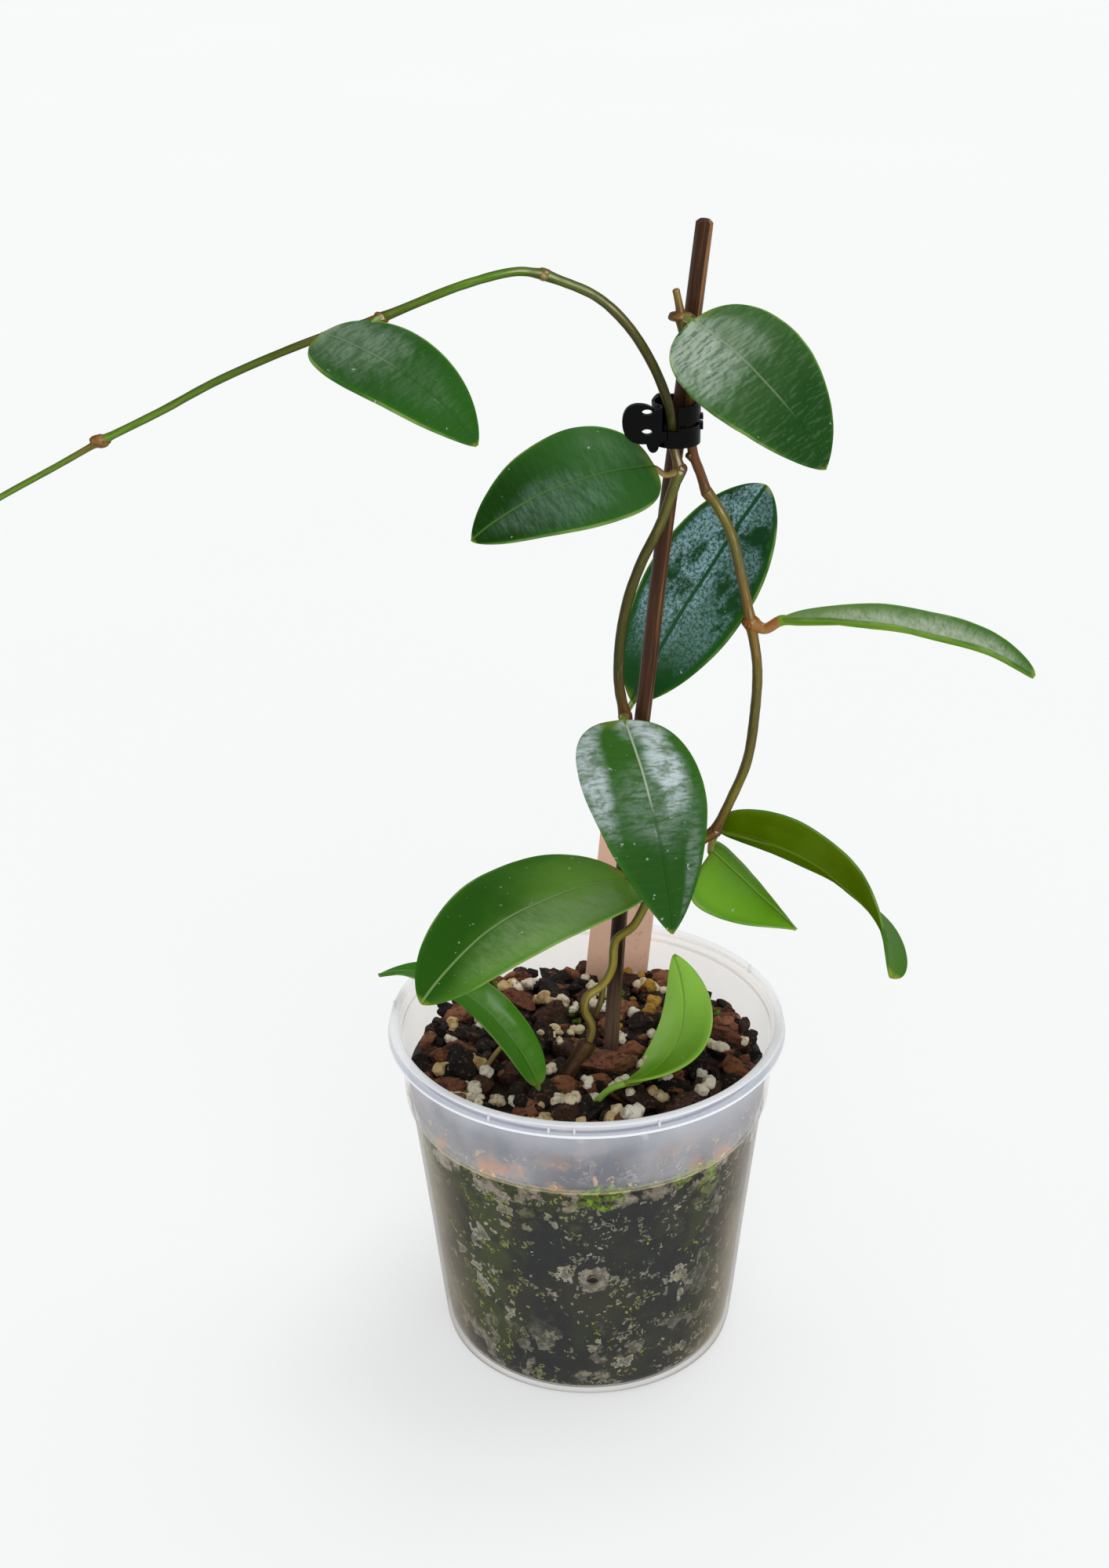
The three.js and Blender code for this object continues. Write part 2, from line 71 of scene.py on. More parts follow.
class Wire:
    """A value in a finish, which takes part in sums."""

    def __init__(self, finish, socket):
        self.finish = finish
        self.socket = socket

    def math(self, operation, *others):
        return self.finish.node("Math", {"operation": operation}, dict(enumerate([self, *others])))

    def __add__(self, other):
        return self.math("ADD", other)

    __radd__ = __add__

    def __sub__(self, other):
        return self.math("SUBTRACT", other)

    def __rsub__(self, other):
        return self.finish.node("Math", {"operation": "SUBTRACT"}, {0: other, 1: self})

    def __mul__(self, other):
        return self.math("MULTIPLY", other)

    __rmul__ = __mul__

    def __abs__(self):
        return self.math("ABSOLUTE")


class Finish:
    """One material. Its constants are set here, and show() links what varies over the surface."""

    def __init__(self, name, **constants):
        self.material = bpy.data.materials.new(name)
        self.material.use_nodes = True
        self.tree = self.material.node_tree
        self.surface = self.tree.nodes["Principled BSDF"]
        self.show(**constants)

    def show(self, **inputs):
        for key, value in inputs.items():
            self.put(self.surface.inputs[key.replace("_", " ")], value)
        return self

    def put(self, socket, value):
        if isinstance(value, Wire):
            self.tree.links.new(value.socket, socket)
        else:
            socket.default_value = shade(value) if isinstance(value, str) else value

    def node(self, kind, settings, values, out=0):
        made = self.tree.nodes.new("ShaderNode" + kind)
        for key, value in settings.items():
            setattr(made, key, value)
        for key, value in values.items():
            by_name = [s for s in made.inputs if s.identifier == key]
            self.put(by_name[0] if by_name else made.inputs[key], value)
        return Wire(self, made.outputs[out])

    def place(self):
        return self.node("TexCoord", {}, {}, out=3)

    def axis(self, number, of=None):
        return self.node("SeparateXYZ", {}, {0: of or self.place()}, out=number)

    def kept(self, name, out=0):
        """A value that the piece keeps at each of its points."""
        return self.node("Attribute", {"attribute_name": name}, {}, out)

    def far_from(self, place):
        return self.node("VectorMath", {"operation": "DISTANCE"}, {0: self.place(), 1: place}, out=1)

    def cloud(self, scale, detail=3, where=None, stretch=(1, 1, 1), rough=0.5, shift=(0, 0, 0)):
        values = {"Vector": where or self.place(), "Scale": stretch, "Location": shift}
        values = {"Vector": self.node("Mapping", {}, values), "Scale": scale, "Detail": detail}
        return self.node("TexNoise", {}, {**values, "Roughness": rough})

    def ramp(self, value, low, high):
        ends = {"Value": value, "From Min": low, "From Max": high}
        return self.node("MapRange", {"interpolation_type": "SMOOTHSTEP"}, ends)

    def spots(self, scale, detail, low, high, **how):
        """Patches where a cloud is thick: 0 where it is below low, 1 where it is above high."""
        return self.ramp(self.cloud(scale, detail, **how), low, high)

    def mix(self, first, second, share):
        values = {"Factor_Float": share, "A_Color": first, "B_Color": second}
        return self.node("Mix", {"data_type": "RGBA"}, values, out=2)

    def layers(self, look, *laid):
        """A look with more laid over it, one after another: each a colour or a look, and where it shows."""
        for colour, share in laid:
            look = self.mix(look, colour, share)
        return look

    def relief(self, value, depth, over=None):
        values = {"Height": value, "Distance": depth, "Strength": 1}
        if over is not None:
            values["Normal"] = over
        return self.node("Bump", {}, values)


def piece(name, points, faces, finishes, which=None):
    """A shown mesh; its points are in millimetres, and which gives the finish of each face."""
    mesh = bpy.data.meshes.new(name)
    mesh.from_pydata((np.asarray(points, float) * MM).tolist(), [], faces)
    for finish in finishes:
        mesh.materials.append(finish.material)
    if which is not None:
        mesh.polygons.foreach_set("material_index", which)
    mesh.shade_smooth()
    mesh.validate()
    made = bpy.data.objects.new(name, mesh)
    bpy.context.scene.collection.objects.link(made)
    return made


FLOOR_HALF = 7000
board = Finish("white_board", Roughness=0.9, Emission_Strength=0.56)
board.show(Base_Color=board.mix("b2b4b4", "b6b7b7", board.cloud(3)), Emission_Color="fdfefe")
corners = [(x * FLOOR_HALF, y * FLOOR_HALF, 0) for x, y in ((-1, -1), (1, -1), (1, 1), (-1, 1))]
floor = piece("floor", corners, [(0, 1, 2, 3)], [board])

# The light is a white room with a broad softbox high over the plant, a little to its right, and a
# weaker one in front. The room looks as pale as the floor, but gives less light than that.
ROOM_LIGHT, ROOM_SEEN = 0.42, 0.95
room = bpy.data.worlds.new("room")
room.use_nodes = True
room_nodes, room_links = room.node_tree.nodes, room.node_tree.links
walls = room_nodes["Background"]
walls.inputs["Color"].default_value = (0.98, 0.99, 1, 1)
path = room_nodes.new("ShaderNodeLightPath")
strength = room_nodes.new("ShaderNodeMapRange")
strength.inputs["To Min"].default_value = ROOM_LIGHT
strength.inputs["To Max"].default_value = ROOM_SEEN
room_links.new(path.outputs["Is Camera Ray"], strength.inputs["Value"])
room_links.new(strength.outputs[0], walls.inputs["Strength"])
bpy.context.scene.world = room


def softbox(name, energy, width, back, aside):
    """A broad far lamp; it leans that many degrees from straight overhead to the back and the right."""
    light = bpy.data.lights.new(name, "SUN")
    light.energy = energy
    light.angle = math.radians(width)
    lamp = bpy.data.objects.new(name, light)
    lamp.rotation_euler = (math.radians(-back), math.radians(aside), 0)
    bpy.context.scene.collection.objects.link(lamp)


softbox("overhead_softbox", 0.95, 34, 10, 14)
softbox("front_softbox", 0.75, 60, -58, 12)
bpy.context.scene.view_settings.view_transform = "Standard"


# The pot is one thin moulding in milky clear plastic, with a stepped collar, a thick rolled rim, drain
# holes in its floor and one small hole in its side. Damp mix has left a film of algae inside its wall.
def circle(radius, count, first=0):
    """Places evenly spaced on a circle, from that many steps on."""
    angles = [2 * math.pi * (i + first) / count for i in range(count)]
    return [(radius * math.cos(a), radius * math.sin(a)) for a in angles]


def skinned(rings, sides):
    """Faces of a closed body that is drawn through rings of as many points each, with its two ends."""
    faces = []
    for start in range(0, (rings - 1) * sides, sides):
        for i in range(sides):
            j = (i + 1) % sides
            faces.append([start + i, start + j, start + sides + j, start + sides + i])
    faces.append(list(range(sides))[::-1])
    faces.append([(rings - 1) * sides + i for i in range(sides)])
    return faces


def turned(profile, steps):
    """Points and faces of a profile turned about the pot's axis."""
    points, faces, rings = [], [], []
    for radius, z in profile:
        if radius == 0:
            rings.append([len(points)] * steps)
            points.append((0, 0, z))
            continue
        rings.append(list(range(len(points), len(points) + steps)))
        points += [(x, y, z) for x, y in circle(radius, steps)]
    for low, high in zip(rings, rings[1:]):
        for i in range(steps):
            j = (i + 1) % steps
            faces.append(list(dict.fromkeys([low[i], low[j], high[j], high[i]])))
    return points, faces


# Each place on a profile is a radius and a height.
POT_OUTSIDE = [
    *((0, 0), (20, 0), (40.8, 0), (43.4, 0.4), (44.7, 1.5), (45.2, 3.5)),
    *((46.2, 12), (47, 20), (48, 30), (49.1, 41), (50.3, 52), (51.5, 63), (52.6, 73), (53.3, 79)),
    *((53.5, 81), (53.75, 82), (54.3, 82.8), (54.9, 83.8), (55.3, 85.2), (55.5, 87.5)),
    *((55.8, 92), (56.1, 97), (56.4, 102), (56.6, 104.6), (57, 105), (58.6, 104.9), (59.4, 104.8)),
    *((59.9, 105.1), (60, 105.7), (59.8, 106.2), (59.2, 106.5), (59, 107.2), (59.1, 108), (59.4, 108.3)),
    *((59.4, 108.7), (59, 109), (57.6, 109), (56.9, 108.8), (56.4, 108.3), (56.2, 107.4)),
]
POT_INSIDE = [
    *((55.6, 105.6), (55.3, 102), (55, 97), (54.7, 92), (54.4, 87.5), (54.2, 85.6), (53.4, 84.2)),
    *((52.6, 83.2), (52.3, 81), (51.5, 73), (50.4, 63), (49.2, 52), (48, 41), (46.9, 30), (45.9, 20)),
    *((45.1, 12), (44.2, 4.8), (43.2, 2.4), (41.5, 1.7), (20, 1.6), (0, 1.6)),
]

milky = Finish("milky_plastic", Roughness=0.22, IOR=1.45, Specular_IOR_Level=0.3, Coat_Roughness=0.08)
z = milky.axis(2)
# The back half of the pot is painted paler and warmer below: painted light shining through its wall.
back = milky.ramp(milky.axis(1), -0.03, 0.025)
collar = milky.ramp(z, 0.0812, 0.0838)
# The rim's two ridges are painted whiter and thicker: partly the solid plastic of the bead, partly painted
# highlights. The groove between them is painted darker and bluer: painted shade.
lower_ridge = milky.ramp(z, 0.1047, 0.1052) * (1 - milky.ramp(z, 0.1058, 0.1061))
ridge = lower_ridge.math("MAXIMUM", milky.ramp(z, 0.1084, 0.1087))
groove = milky.ramp(z, 0.106, 0.1064) * (1 - milky.ramp(z, 0.1079, 0.1084)) * (1 - back)
fogged = (1 - milky.ramp(z, 0.086, 0.1)) * (1 - back)
peach = milky.spots(85, 5, 0.5, 0.6, rough=0.6) * fogged
# The middle of the front collar is painted darker and bluer, and made clearer: painted shade.
painted_dusk = milky.ramp(milky.cloud(38, 3) - 6 * abs(milky.axis(0) - 0.006), 0.2, 0.5)
painted_dusk = painted_dusk * (1 - 0.6 * milky.ramp(z, 0.094, 0.103)) * (1 - back)
crumb = milky.spots(300, 2, 0.64, 0.7) * fogged
edge_on = milky.ramp(milky.node("LayerWeight", {}, {"Blend": 0.32}, out=1), 0.34, 0.72)
cloudy = milky.layers(
    milky.mix("cac9ce", "dcdfe8", milky.ramp(z, 0.09, 0.104)),
    ("9397a6", painted_dusk * 0.6),
    ("e0ab84", peach * 0.7),
    ("f0cda2", crumb * 0.8),
    ("f8e4d0", back),
    ("a4adbe", groove * (0.4 + 0.5 * milky.cloud(60, 3))),
    ("fafbff", ridge),
)
below_seam = 0.082 - z - 0.013 * milky.cloud(95, 6, rough=0.65)
skirt = (1 - milky.ramp(below_seam, -0.0006, 0.0002)) * (1 - collar)
tan_film = milky.spots(110, 5, 0.52, 0.56, rough=0.65) * skirt
moss_film = milky.spots(120, 5, 0.55, 0.58) * milky.spots(30, 1, 0.46, 0.55) * milky.ramp(z, 0.064, 0.08)
moss_heart = milky.far_from((0.004, -0.053, 0.0825)) + 0.02 * (milky.cloud(160, 5, rough=0.65) - 0.5)
moss_film = moss_film.math("MAXIMUM", 1 - milky.ramp(moss_heart, 0.0065, 0.0075))
moss_film = moss_film * (1 - milky.ramp(z, 0.0845, 0.087)) * milky.spots(330, 5, 0.44, 0.5, rough=0.7)
seam = milky.ramp(z, 0.0812, 0.0817) * (1 - milky.ramp(z, 0.0821, 0.0827)) * (1 - back)
wall = milky.layers(
    milky.mix("7d6f58", "96866a", milky.spots(40, 3, 0.45, 0.6)),
    (milky.mix("8f8373", "b0a494", milky.spots(300, 4, 0.4, 0.6)), tan_film),
    (cloudy, collar),
    (milky.mix("46600c", "7f9c1e", milky.spots(500, 3, 0.42, 0.6)), moss_film),
    ("b3ac6a", seam),
)
clear = 0.026 + 0.5 * tan_film + 0.75 * moss_film + 0.55 * edge_on
thick = 0.25 + 0.07 * milky.ramp(z, 0.088, 0.102) + 0.12 * (1 - painted_dusk)
thick = thick + 0.15 * peach + 0.25 * crumb + 0.6 * moss_film
thick = thick * (1 - back) + 0.17 * back + 0.42 * ridge
# The collar glows a little in its own colour: painted light through the milky plastic.
milky.show(
    Base_Color=wall,
    Alpha=(clear * (1 - collar) + thick * collar + 0.45 * seam).math("MINIMUM", 0.95),
    Normal=milky.relief(milky.cloud(700, 2), 0.00006),
    Emission_Color=milky.mix("000000", cloudy, collar),
    Emission_Strength=0.16,
    Coat_Weight=0.04 + 0.21 * collar,
)
points, faces = turned(POT_OUTSIDE + POT_INSIDE, 144)
pot = piece("clear_pot", points, faces, [milky])


def cut(target, points, faces):
    """Takes a closed shape out of a piece."""
    tool = piece("tool", points, faces, [])
    boolean = target.modifiers.new("cut", "BOOLEAN")
    boolean.object = tool
    boolean.solver = "EXACT"
    shown = bpy.context.evaluated_depsgraph_get()
    target.data = bpy.data.meshes.new_from_object(target.evaluated_get(shown))
    target.modifiers.clear()
    bpy.data.objects.remove(tool)


def plug(x, y, z, radius, half, upright):
    """A short closed rod, upright or along Y, that drills one hole."""
    sides = 20
    points = []
    for end in (-half, half):
        for a, b in circle(radius, sides):
            points.append((x + a, y + b, z + end) if upright else (x + a, y + end, z - b))
    return points, skinned(2, sides)


DRAIN_HOLES, DRAIN_CIRCLE = 8, 32
for x, y in circle(DRAIN_CIRCLE, DRAIN_HOLES, first=0.5):
    cut(pot, *plug(x, y, 0.8, 3, 3, upright=True))
cut(pot, *plug(1.3, -49.5, 47.4, 1.8, 4, upright=False))
pot.data.shade_smooth()
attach(pot, "root")
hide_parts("pot")

# Small moulding ticks stand across the rim's groove, where the mould's inserts met. They are part of the
# same plastic, and look whiter than it because they are solid.
tick_points, tick_faces = [], []
for degrees in (242, 259.5, 266.5, 290, 30, 118, 171):
    turn = Matrix.Rotation(math.radians(degrees), 3, "Z")
    start = len(tick_points)
    for height in (105.9, 108.4):
        for out, aside in ((58.8, -0.3), (59.7, -0.3), (59.7, 0.3), (58.8, 0.3)):
            tick_points.append(turn @ Vector((out, aside, height)))
    tick_faces += [[start + k for k in face] for face in skinned(2, 4)]
bead = Finish("rim_bead", Roughness=0.3)
bead.show(Base_Color=bead.mix("eceef2", "f6f6f8", bead.cloud(200)))
ticks = piece("rim_ticks", tick_points, tick_faces, [bead])
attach(ticks, "root")

# The potting mix is damp bark with grains of perlite and pumice, pressed against the clear wall. Its
# filling shows through the plastic as a dark mass with pale rings, algae and specks.
filling = Finish("packed_mix", Roughness=0.75)
z = filling.axis(2)
spot = filling.place()
x_side = filling.axis(0, spot)
warp = filling.node("TexNoise", {}, {"Vector": spot, "Scale": 330.0, "Detail": 4.0}, out=1)
bent = {"Factor_Float": 0.011, "A_Vector": spot, "B_Vector": warp}
bent = filling.node("Mix", {"data_type": "VECTOR"}, bent, out=1)


def cells(scale, share):
    """How far each place is from the middle of its cell, and whether the cell is among the chosen ones."""
    near = filling.node("TexVoronoi", {}, {"Vector": bent, "Scale": scale})
    which = filling.node("TexVoronoi", {}, {"Vector": bent, "Scale": scale}, out=1)
    return near, filling.ramp(filling.node("SeparateColor", {}, {0: which}), 1 - share, 1.003 - share)


low = 1 - filling.ramp(z, 0.012, 0.034)
to_right = filling.ramp(x_side, 0.02, 0.042)
to_left = 1 - filling.ramp(x_side + 0.03 * filling.cloud(35, 3), -0.022, 0.022)
slate = filling.layers(
    filling.mix("1b2124", "292a24", filling.spots(40, 4, 0.4, 0.62)),
    ("3a4422", filling.spots(48, 3, 0.46, 0.6) * (0.1 + 0.9 * to_left)),
    ("171c1f", filling.spots(150, 4, 0.54, 0.66) * 0.7),
    ("445224", filling.spots(70, 4, 0.55, 0.62) * to_right * 0.6),
)

near, chosen = cells(118, 0.2)
lump = (1 - filling.ramp(near, 0.33, 0.36)) * chosen
outline = filling.ramp(near, 0.26, 0.31) * lump
pit, _ = cells(640, 1)
pitted = (1 - filling.ramp(pit, 0.2, 0.3)) * (1 - outline)
lump_look = filling.layers(
    filling.mix("6f6b60", "9b9484", filling.spots(420, 3, 0.42, 0.6)),
    ("2c2f29", pitted * 0.9),
    ("b9b6a4", outline * 0.75),
)
near, chosen = cells(175, 0.17)
small_lump = (1 - filling.ramp(near, 0.27, 0.32)) * chosen
near, chosen = cells(230, 0.36)
ring = filling.ramp(near, 0.2, 0.24) * (1 - filling.ramp(near, 0.33, 0.37)) * chosen
near, chosen = cells(420, 0.28)
fleck = (1 - filling.ramp(near, 0.26, 0.32)) * chosen * filling.spots(45, 2, 0.42, 0.56)
patch = filling.spots(110, 6, 0.54, 0.57, rough=0.6) * (low * 0.8).math("MAXIMUM", to_right * 0.6)
from_hole = filling.far_from((0.0013, -0.0482, 0.0474))
ragged = from_hole + 0.009 * (filling.cloud(260, 5, rough=0.65) - 0.5)
look = filling.layers(
    slate,
    (lump_look, lump),
    (filling.mix(lump_look, "8b8d62", to_left * 0.6), small_lump),
    (filling.mix("8f8c78", "8e9440", to_left), ring * 0.85),
    (filling.mix("a3a592", "9da43a", filling.spots(60, 1, 0.45, 0.5)), fleck * 0.9),
    (filling.mix("6d685c", "a39d8c", filling.spots(500, 3, 0.45, 0.6)), patch * 0.85),
    (lump_look, 1 - filling.ramp(ragged, 0.0048, 0.0053)),
    # Inside the side hole the mix is painted near black: painted shade in the hole.
    ("0c0d0e", 1 - filling.ramp(from_hole, 0.0017, 0.0019)),
    ("2b1d17", filling.ramp(z, 0.0905, 0.0925)),
)
filling.show(Base_Color=look, Normal=filling.relief(filling.cloud(300, 4), 0.0005))

MIX_SIDE = [
    *((0, 2), (20, 2), (41, 2.05), (42.9, 2.8), (43.8, 4.9), (44.7, 12), (45.5, 20), (46.5, 30)),
    *((47.6, 41), (48.8, 52), (50, 63), (51.1, 73), (51.9, 81), (52.2, 83.3), (53, 84.4), (53.8, 85.8)),
    *((54, 87.5), (54.2, 90.5), (50, 92.3), (30, 93), (12, 93), (0, 93)),
]
points, faces = turned(MIX_SIDE, 96)
packed = piece("packed_mix", points, faces, [filling])
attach(packed, "root")
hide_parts("potting_mix")


# Bark chips: broken pieces of pine bark from charcoal black to reddish brown, split along their layers
# and ragged at the ends. They lie loose on the mix and half sunk in it.
def dice(seed):
    """The same seeded numbers from 0 to 1 that place the chips in the solid mix."""
    state = seed

    def throw():
        nonlocal state
        state = (state + 0x6D2B79F5) & 0xFFFFFFFF
        t = ((state ^ (state >> 15)) * (1 | state)) & 0xFFFFFFFF
        t = ((t + (((t ^ (t >> 7)) * (61 | t)) & 0xFFFFFFFF)) & 0xFFFFFFFF) ^ t
        return ((t ^ (t >> 14)) & 0xFFFFFFFF) / 4294967296

    return throw


def ball(rounds):
    """Points and faces of a ball of radius 1 made of triangles, halved that many times."""
    mesh = bmesh.new()
    bmesh.ops.create_icosphere(mesh, subdivisions=rounds, radius=1)
    points = np.array([v.co for v in mesh.verts])
    faces = [[v.index for v in f.verts] for f in mesh.faces]
    mesh.free()
    return points, faces


def keep(made, name, kind, values):
    """Gives a piece a value of its own at each point, for its finish to read."""
    layer = made.data.attributes.new(name, kind, "POINT")
    field = "color" if kind == "FLOAT_COLOR" else "vector"
    layer.data.foreach_set(field, np.array(values, np.float32).ravel())


class Heap:
    """Many closed shapes that are one piece."""

    def __init__(self):
        self.points, self.faces, self.colours = [], [], []

    def add(self, points, faces, colour):
        """Takes one more shape; it has one colour, or one for each of its points."""
        start = len(self.points)
        self.points += [tuple(p) for p in points]
        self.faces += [[start + k for k in face] for face in faces]
        self.colours += np.broadcast_to(colour, (len(points), 4)).tolist()

    def piece(self, name, finish):
        made = piece(name, self.points, self.faces, [finish])
        keep(made, "tone", "FLOAT_COLOR", self.colours)
        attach(made, "root")
        return made


def chip(size, turn, at, seed, rounds=4):
    throw = dice(seed)
    points, faces = ball(rounds)
    for _ in range(11):
        normal = np.array([throw() - 0.5, throw() - 0.5, throw() - 0.5])
        normal /= np.linalg.norm(normal) + 1e-9
        reach = 0.5 + 0.3 * throw()
        past = np.maximum(0, points @ normal - reach)
        points = points - past[:, None] * normal
    shift = Vector((seed * 3.1 % 97, seed * 1.7 % 89, seed * 2.3 % 83))
    grown = []
    for p in points:
        where = Vector(p * size)
        coarse = noise.fractal(where * 0.3 + shift, 1, 2, 4)
        layers = noise.noise(Vector((where.x * 0.2, where.y * 0.9, where.z * 1.9)) + shift)
        grown.append(p * size * (1.32 + 0.13 * coarse + 0.2 * layers))
    return np.array(grown) @ np.array(Euler(turn).to_matrix()).T + np.array(at), faces


bark = Finish("bark", Specular_IOR_Level=0.3)
layered = bark.cloud(380, 6, stretch=(1, 1, 2.6), rough=0.72)
look = bark.layers(
    bark.kept("tone"),
    # The bark is painted near black in the grooves of its layers, where the bump sinks: painted shade.
    ("0b0706", (1 - bark.ramp(layered, 0.38, 0.52)) * 0.7),
    ("c98a60", bark.spots(620, 4, 0.56, 0.68, stretch=(1, 1, 2), rough=0.6) * 0.32),
    # The chips are painted near black low down, where they sink among the others: painted shade between the
    # chips.
    ("070504", (1 - bark.ramp(bark.axis(2), 0.093, 0.0968)) * 0.8),
)
bark.show(Base_Color=look, Normal=bark.relief(layered, 0.001), Roughness=0.66 + 0.25 * bark.cloud(300))


def between(low, high):
    """A random number from the dice in use."""
    return low + (high - low) * throw()


def dropped(reach):
    """A random place within that reach of the pot's axis."""
    angle = between(0, 2 * math.pi)
    out = reach * math.sqrt(throw())
    return out * math.cos(angle), out * math.sin(angle)


# The large chips lie where the solid mix has them, in rows that are a little out of line.
BARK_TONES = [
    *("1b1614", "4b3126", "241d1a", "7d4a33", "3d2920", "2c221d"),
    *("8f583d", "1b1614", "573a2b", "9a6446", "241d1a"),
]
SPACING, EDGE, WALL = 10.6, 51.3, 54
SOLID_CHIP_THROWS = 12
throw = dice(12)
heap = Heap()
count = 0
rows = [SPACING * i - EDGE for i in range(math.ceil(2 * EDGE / SPACING))]
for x in rows:
    for y in rows:
        at = (x + between(-2.6, 2.6), y + between(-2.6, 2.6), 93.5 + between(0, 1.2))
        size = (between(3.9, 6.8), between(3, 4.6), between(2.5, 3.6))
        turn = (between(-0.3, 0.3), between(-0.3, 0.3), between(0, math.pi))
        out = math.hypot(at[0], at[1])
        if out < EDGE:
            for _ in range(SOLID_CHIP_THROWS):
                throw()
            count += 1
            pull = min(1, WALL / (out + size[0]))
            at = (at[0] * pull, at[1] * pull, at[2] + 0.4)
            tone = shade(BARK_TONES[count * 7 % len(BARK_TONES)])
            heap.add(*chip(np.array(size), turn, at, 100 + count), tone)

# Broad chips, red or black, lie on top of them. Each has its place, size, turn and tone.
BROAD_CHIPS = [
    ((5.2, -9.5, 98.6), (7.4, 4.2, 3.6), 0.1, "8f5a44"),
    ((-15, -42.5, 96.4), (3.8, 3, 2.4), 2.6, "a8643c"),
    ((13, -40.5, 96.6), (5.2, 3.4, 2.6), 2.5, "6d4230"),
    ((27.5, -33, 96.8), (5.6, 3.6, 2.8), 0.6, "4e342a"),
    ((-38, -30, 96), (3.6, 2.8, 2.6), 1.1, "8a5840"),
    ((46, -12, 96.5), (5, 4, 2.6), 1.9, "8b5232"),
    ((43, 6, 97), (6, 3.4, 2.4), 2.7, "7c4a32"),
    ((-22, 27, 97.6), (7, 3.6, 3), 2.8, "7c4a34"),
    ((-27, 12, 97.4), (7, 5, 3), 0.5, "1d1715"),
    ((-19, -3, 97.2), (6.4, 4.8, 3.2), 1.2, "17110f"),
    ((-37, -8, 97), (7.4, 4.6, 3), 2.2, "1a1413"),
    ((19, 14, 97.4), (7, 4.4, 3), 0.3, "231814"),
    ((33, -8, 97.2), (6, 4.2, 3), 1.4, "1c1412"),
    ((-6, -36, 96.8), (4.6, 4, 3), 0.8, "4a3026"),
    ((16, -27, 97), (6.2, 4.4, 3), 2.9, "3a271f"),
    ((-12, 7, 96.6), (6.2, 4.2, 3), 1.7, "2a1d17"),
    ((-12, 19, 96.8), (6, 4.4, 3), 0.4, "4a3024"),
    ((-11, 32, 96.8), (6, 4.2, 3), 2.3, "1c1513"),
    ((-13, -24, 96.4), (5, 3.8, 2.8), 1.1, "33231b"),
]
for at, size, turn, code in BROAD_CHIPS:
    heap.add(*chip(np.array(size), (0.12, -0.1, turn), at, 3000 + int(at[0])), shade(code))


def crumbs(many, reach, sizes, heights, tilt, seed, rounds, tone_step):
    """Adds small chips within a reach of the axis, or with no reach in a ring along the wall."""
    for count in range(many):
        if reach:
            x, y = dropped(reach)
        else:
            angle = 2 * math.pi * (count + between(-0.4, 0.4)) / many
            out = between(47.5, 50.8)
            x, y = out * math.cos(angle), out * math.sin(angle)
        size = [between(*limits) for limits in sizes]
        at = (x, y, between(*heights))
        turn = (between(-tilt, tilt), between(-tilt, tilt), between(0, math.pi))
        tone = shade(BARK_TONES[count * tone_step % len(BARK_TONES)])
        heap.add(*chip(np.array(size), turn, at, seed + count, rounds), tone)


throw = dice(31)
crumbs(130, 50.5, [(1.5, 3.4), (1.2, 2.2), (1, 1.8)], (94.6, 97), 0.8, 900, 3, 3)
crumbs(160, 50, [(2, 4.2), (1.6, 2.8), (1.2, 1.8)], (92.8, 94.4), 0.4, 1900, 2, 4)
crumbs(78, None, [(2, 3.6), (1.5, 2.4), (1.3, 2.4)], (94.2, 96.4), 0.6, 1500, 3, 5)
bed = BVHTree.FromPolygons(heap.points, heap.faces)
chips = heap.piece("bark_chips", bark)
chips.data.set_sharp_from_angle(angle=math.radians(38))


def seated(x, y):
    """The height at which something dropped on the chips comes to rest."""
    found = bed.ray_cast(Vector((x, y, 130)), Vector((0, 0, -1)))[0]
    return found.z if found else 94


# Perlite and pumice: cream-white lumps of a few grains stuck together, some stained, and round ochre
# clay grains at the back. They rest on the chips and in the gaps.
def grain_lump(at, radius, seed):
    """A knobbly grain."""
    points, faces = ball(3)
    shift = Vector((seed * 5.3 % 71, seed * 2.9 % 67, seed * 4.1 % 61))
    squash = np.array([1 + 0.35 * noise.noise(shift), 1 + 0.35 * noise.noise(shift * 1.3), 0.9])
    grown = [p * radius * squash * (1 + 0.45 * noise.noise(Vector(p) * 1.3 + shift)) for p in points]
    return np.array(grown) + np.array(at), faces


mineral = Finish("mineral_grain", Roughness=0.88, Specular_IOR_Level=0.25)
look = mineral.layers(
    mineral.kept("tone"),
    ("a5713a", mineral.spots(330, 4, 0.52, 0.68) * 0.6),
    ("5d4028", mineral.spots(800, 3, 0.6, 0.72) * 0.7),
)
mineral.show(Base_Color=look, Normal=mineral.relief(mineral.cloud(900, 4, rough=0.7), 0.0005))
PALE_TONES = ["f0e2c8", "f6eedd", "e2cfa8", "ecdcbc", "f4e8d0", "d8bb88", "f2e6d2"]
OCHRE_TONES = ["c4953f", "b58a3c", "cfae62"]
big_chip = BROAD_CHIPS[0][0]
heap = Heap()
throw = dice(47)
for count in range(96):
    x, y = dropped(48.5)
    ochre = x > 8 and y > 12 and throw() < 0.7
    if math.hypot(x - big_chip[0], y - big_chip[1]) < 9:
        continue
    radius = between(1.6 if ochre else 1.1, 2.5)
    tone = shade(OCHRE_TONES[count % 3] if ochre else PALE_TONES[count * 5 % 7])
    at = np.array([x, y, seated(x, y) + radius * 0.35])
    heading = between(0, 2 * math.pi)
    for part in range(1 if ochre else 1 + int(between(0, 4))):
        heading += between(-1.8, 1.8)
        heap.add(*grain_lump(at, radius * between(0.72, 1), count * 6 + part), tone)
        at = at + np.array([math.cos(heading), math.sin(heading), between(-0.4, 0.3)]) * radius
grains = heap.piece("mineral_grains", mineral)

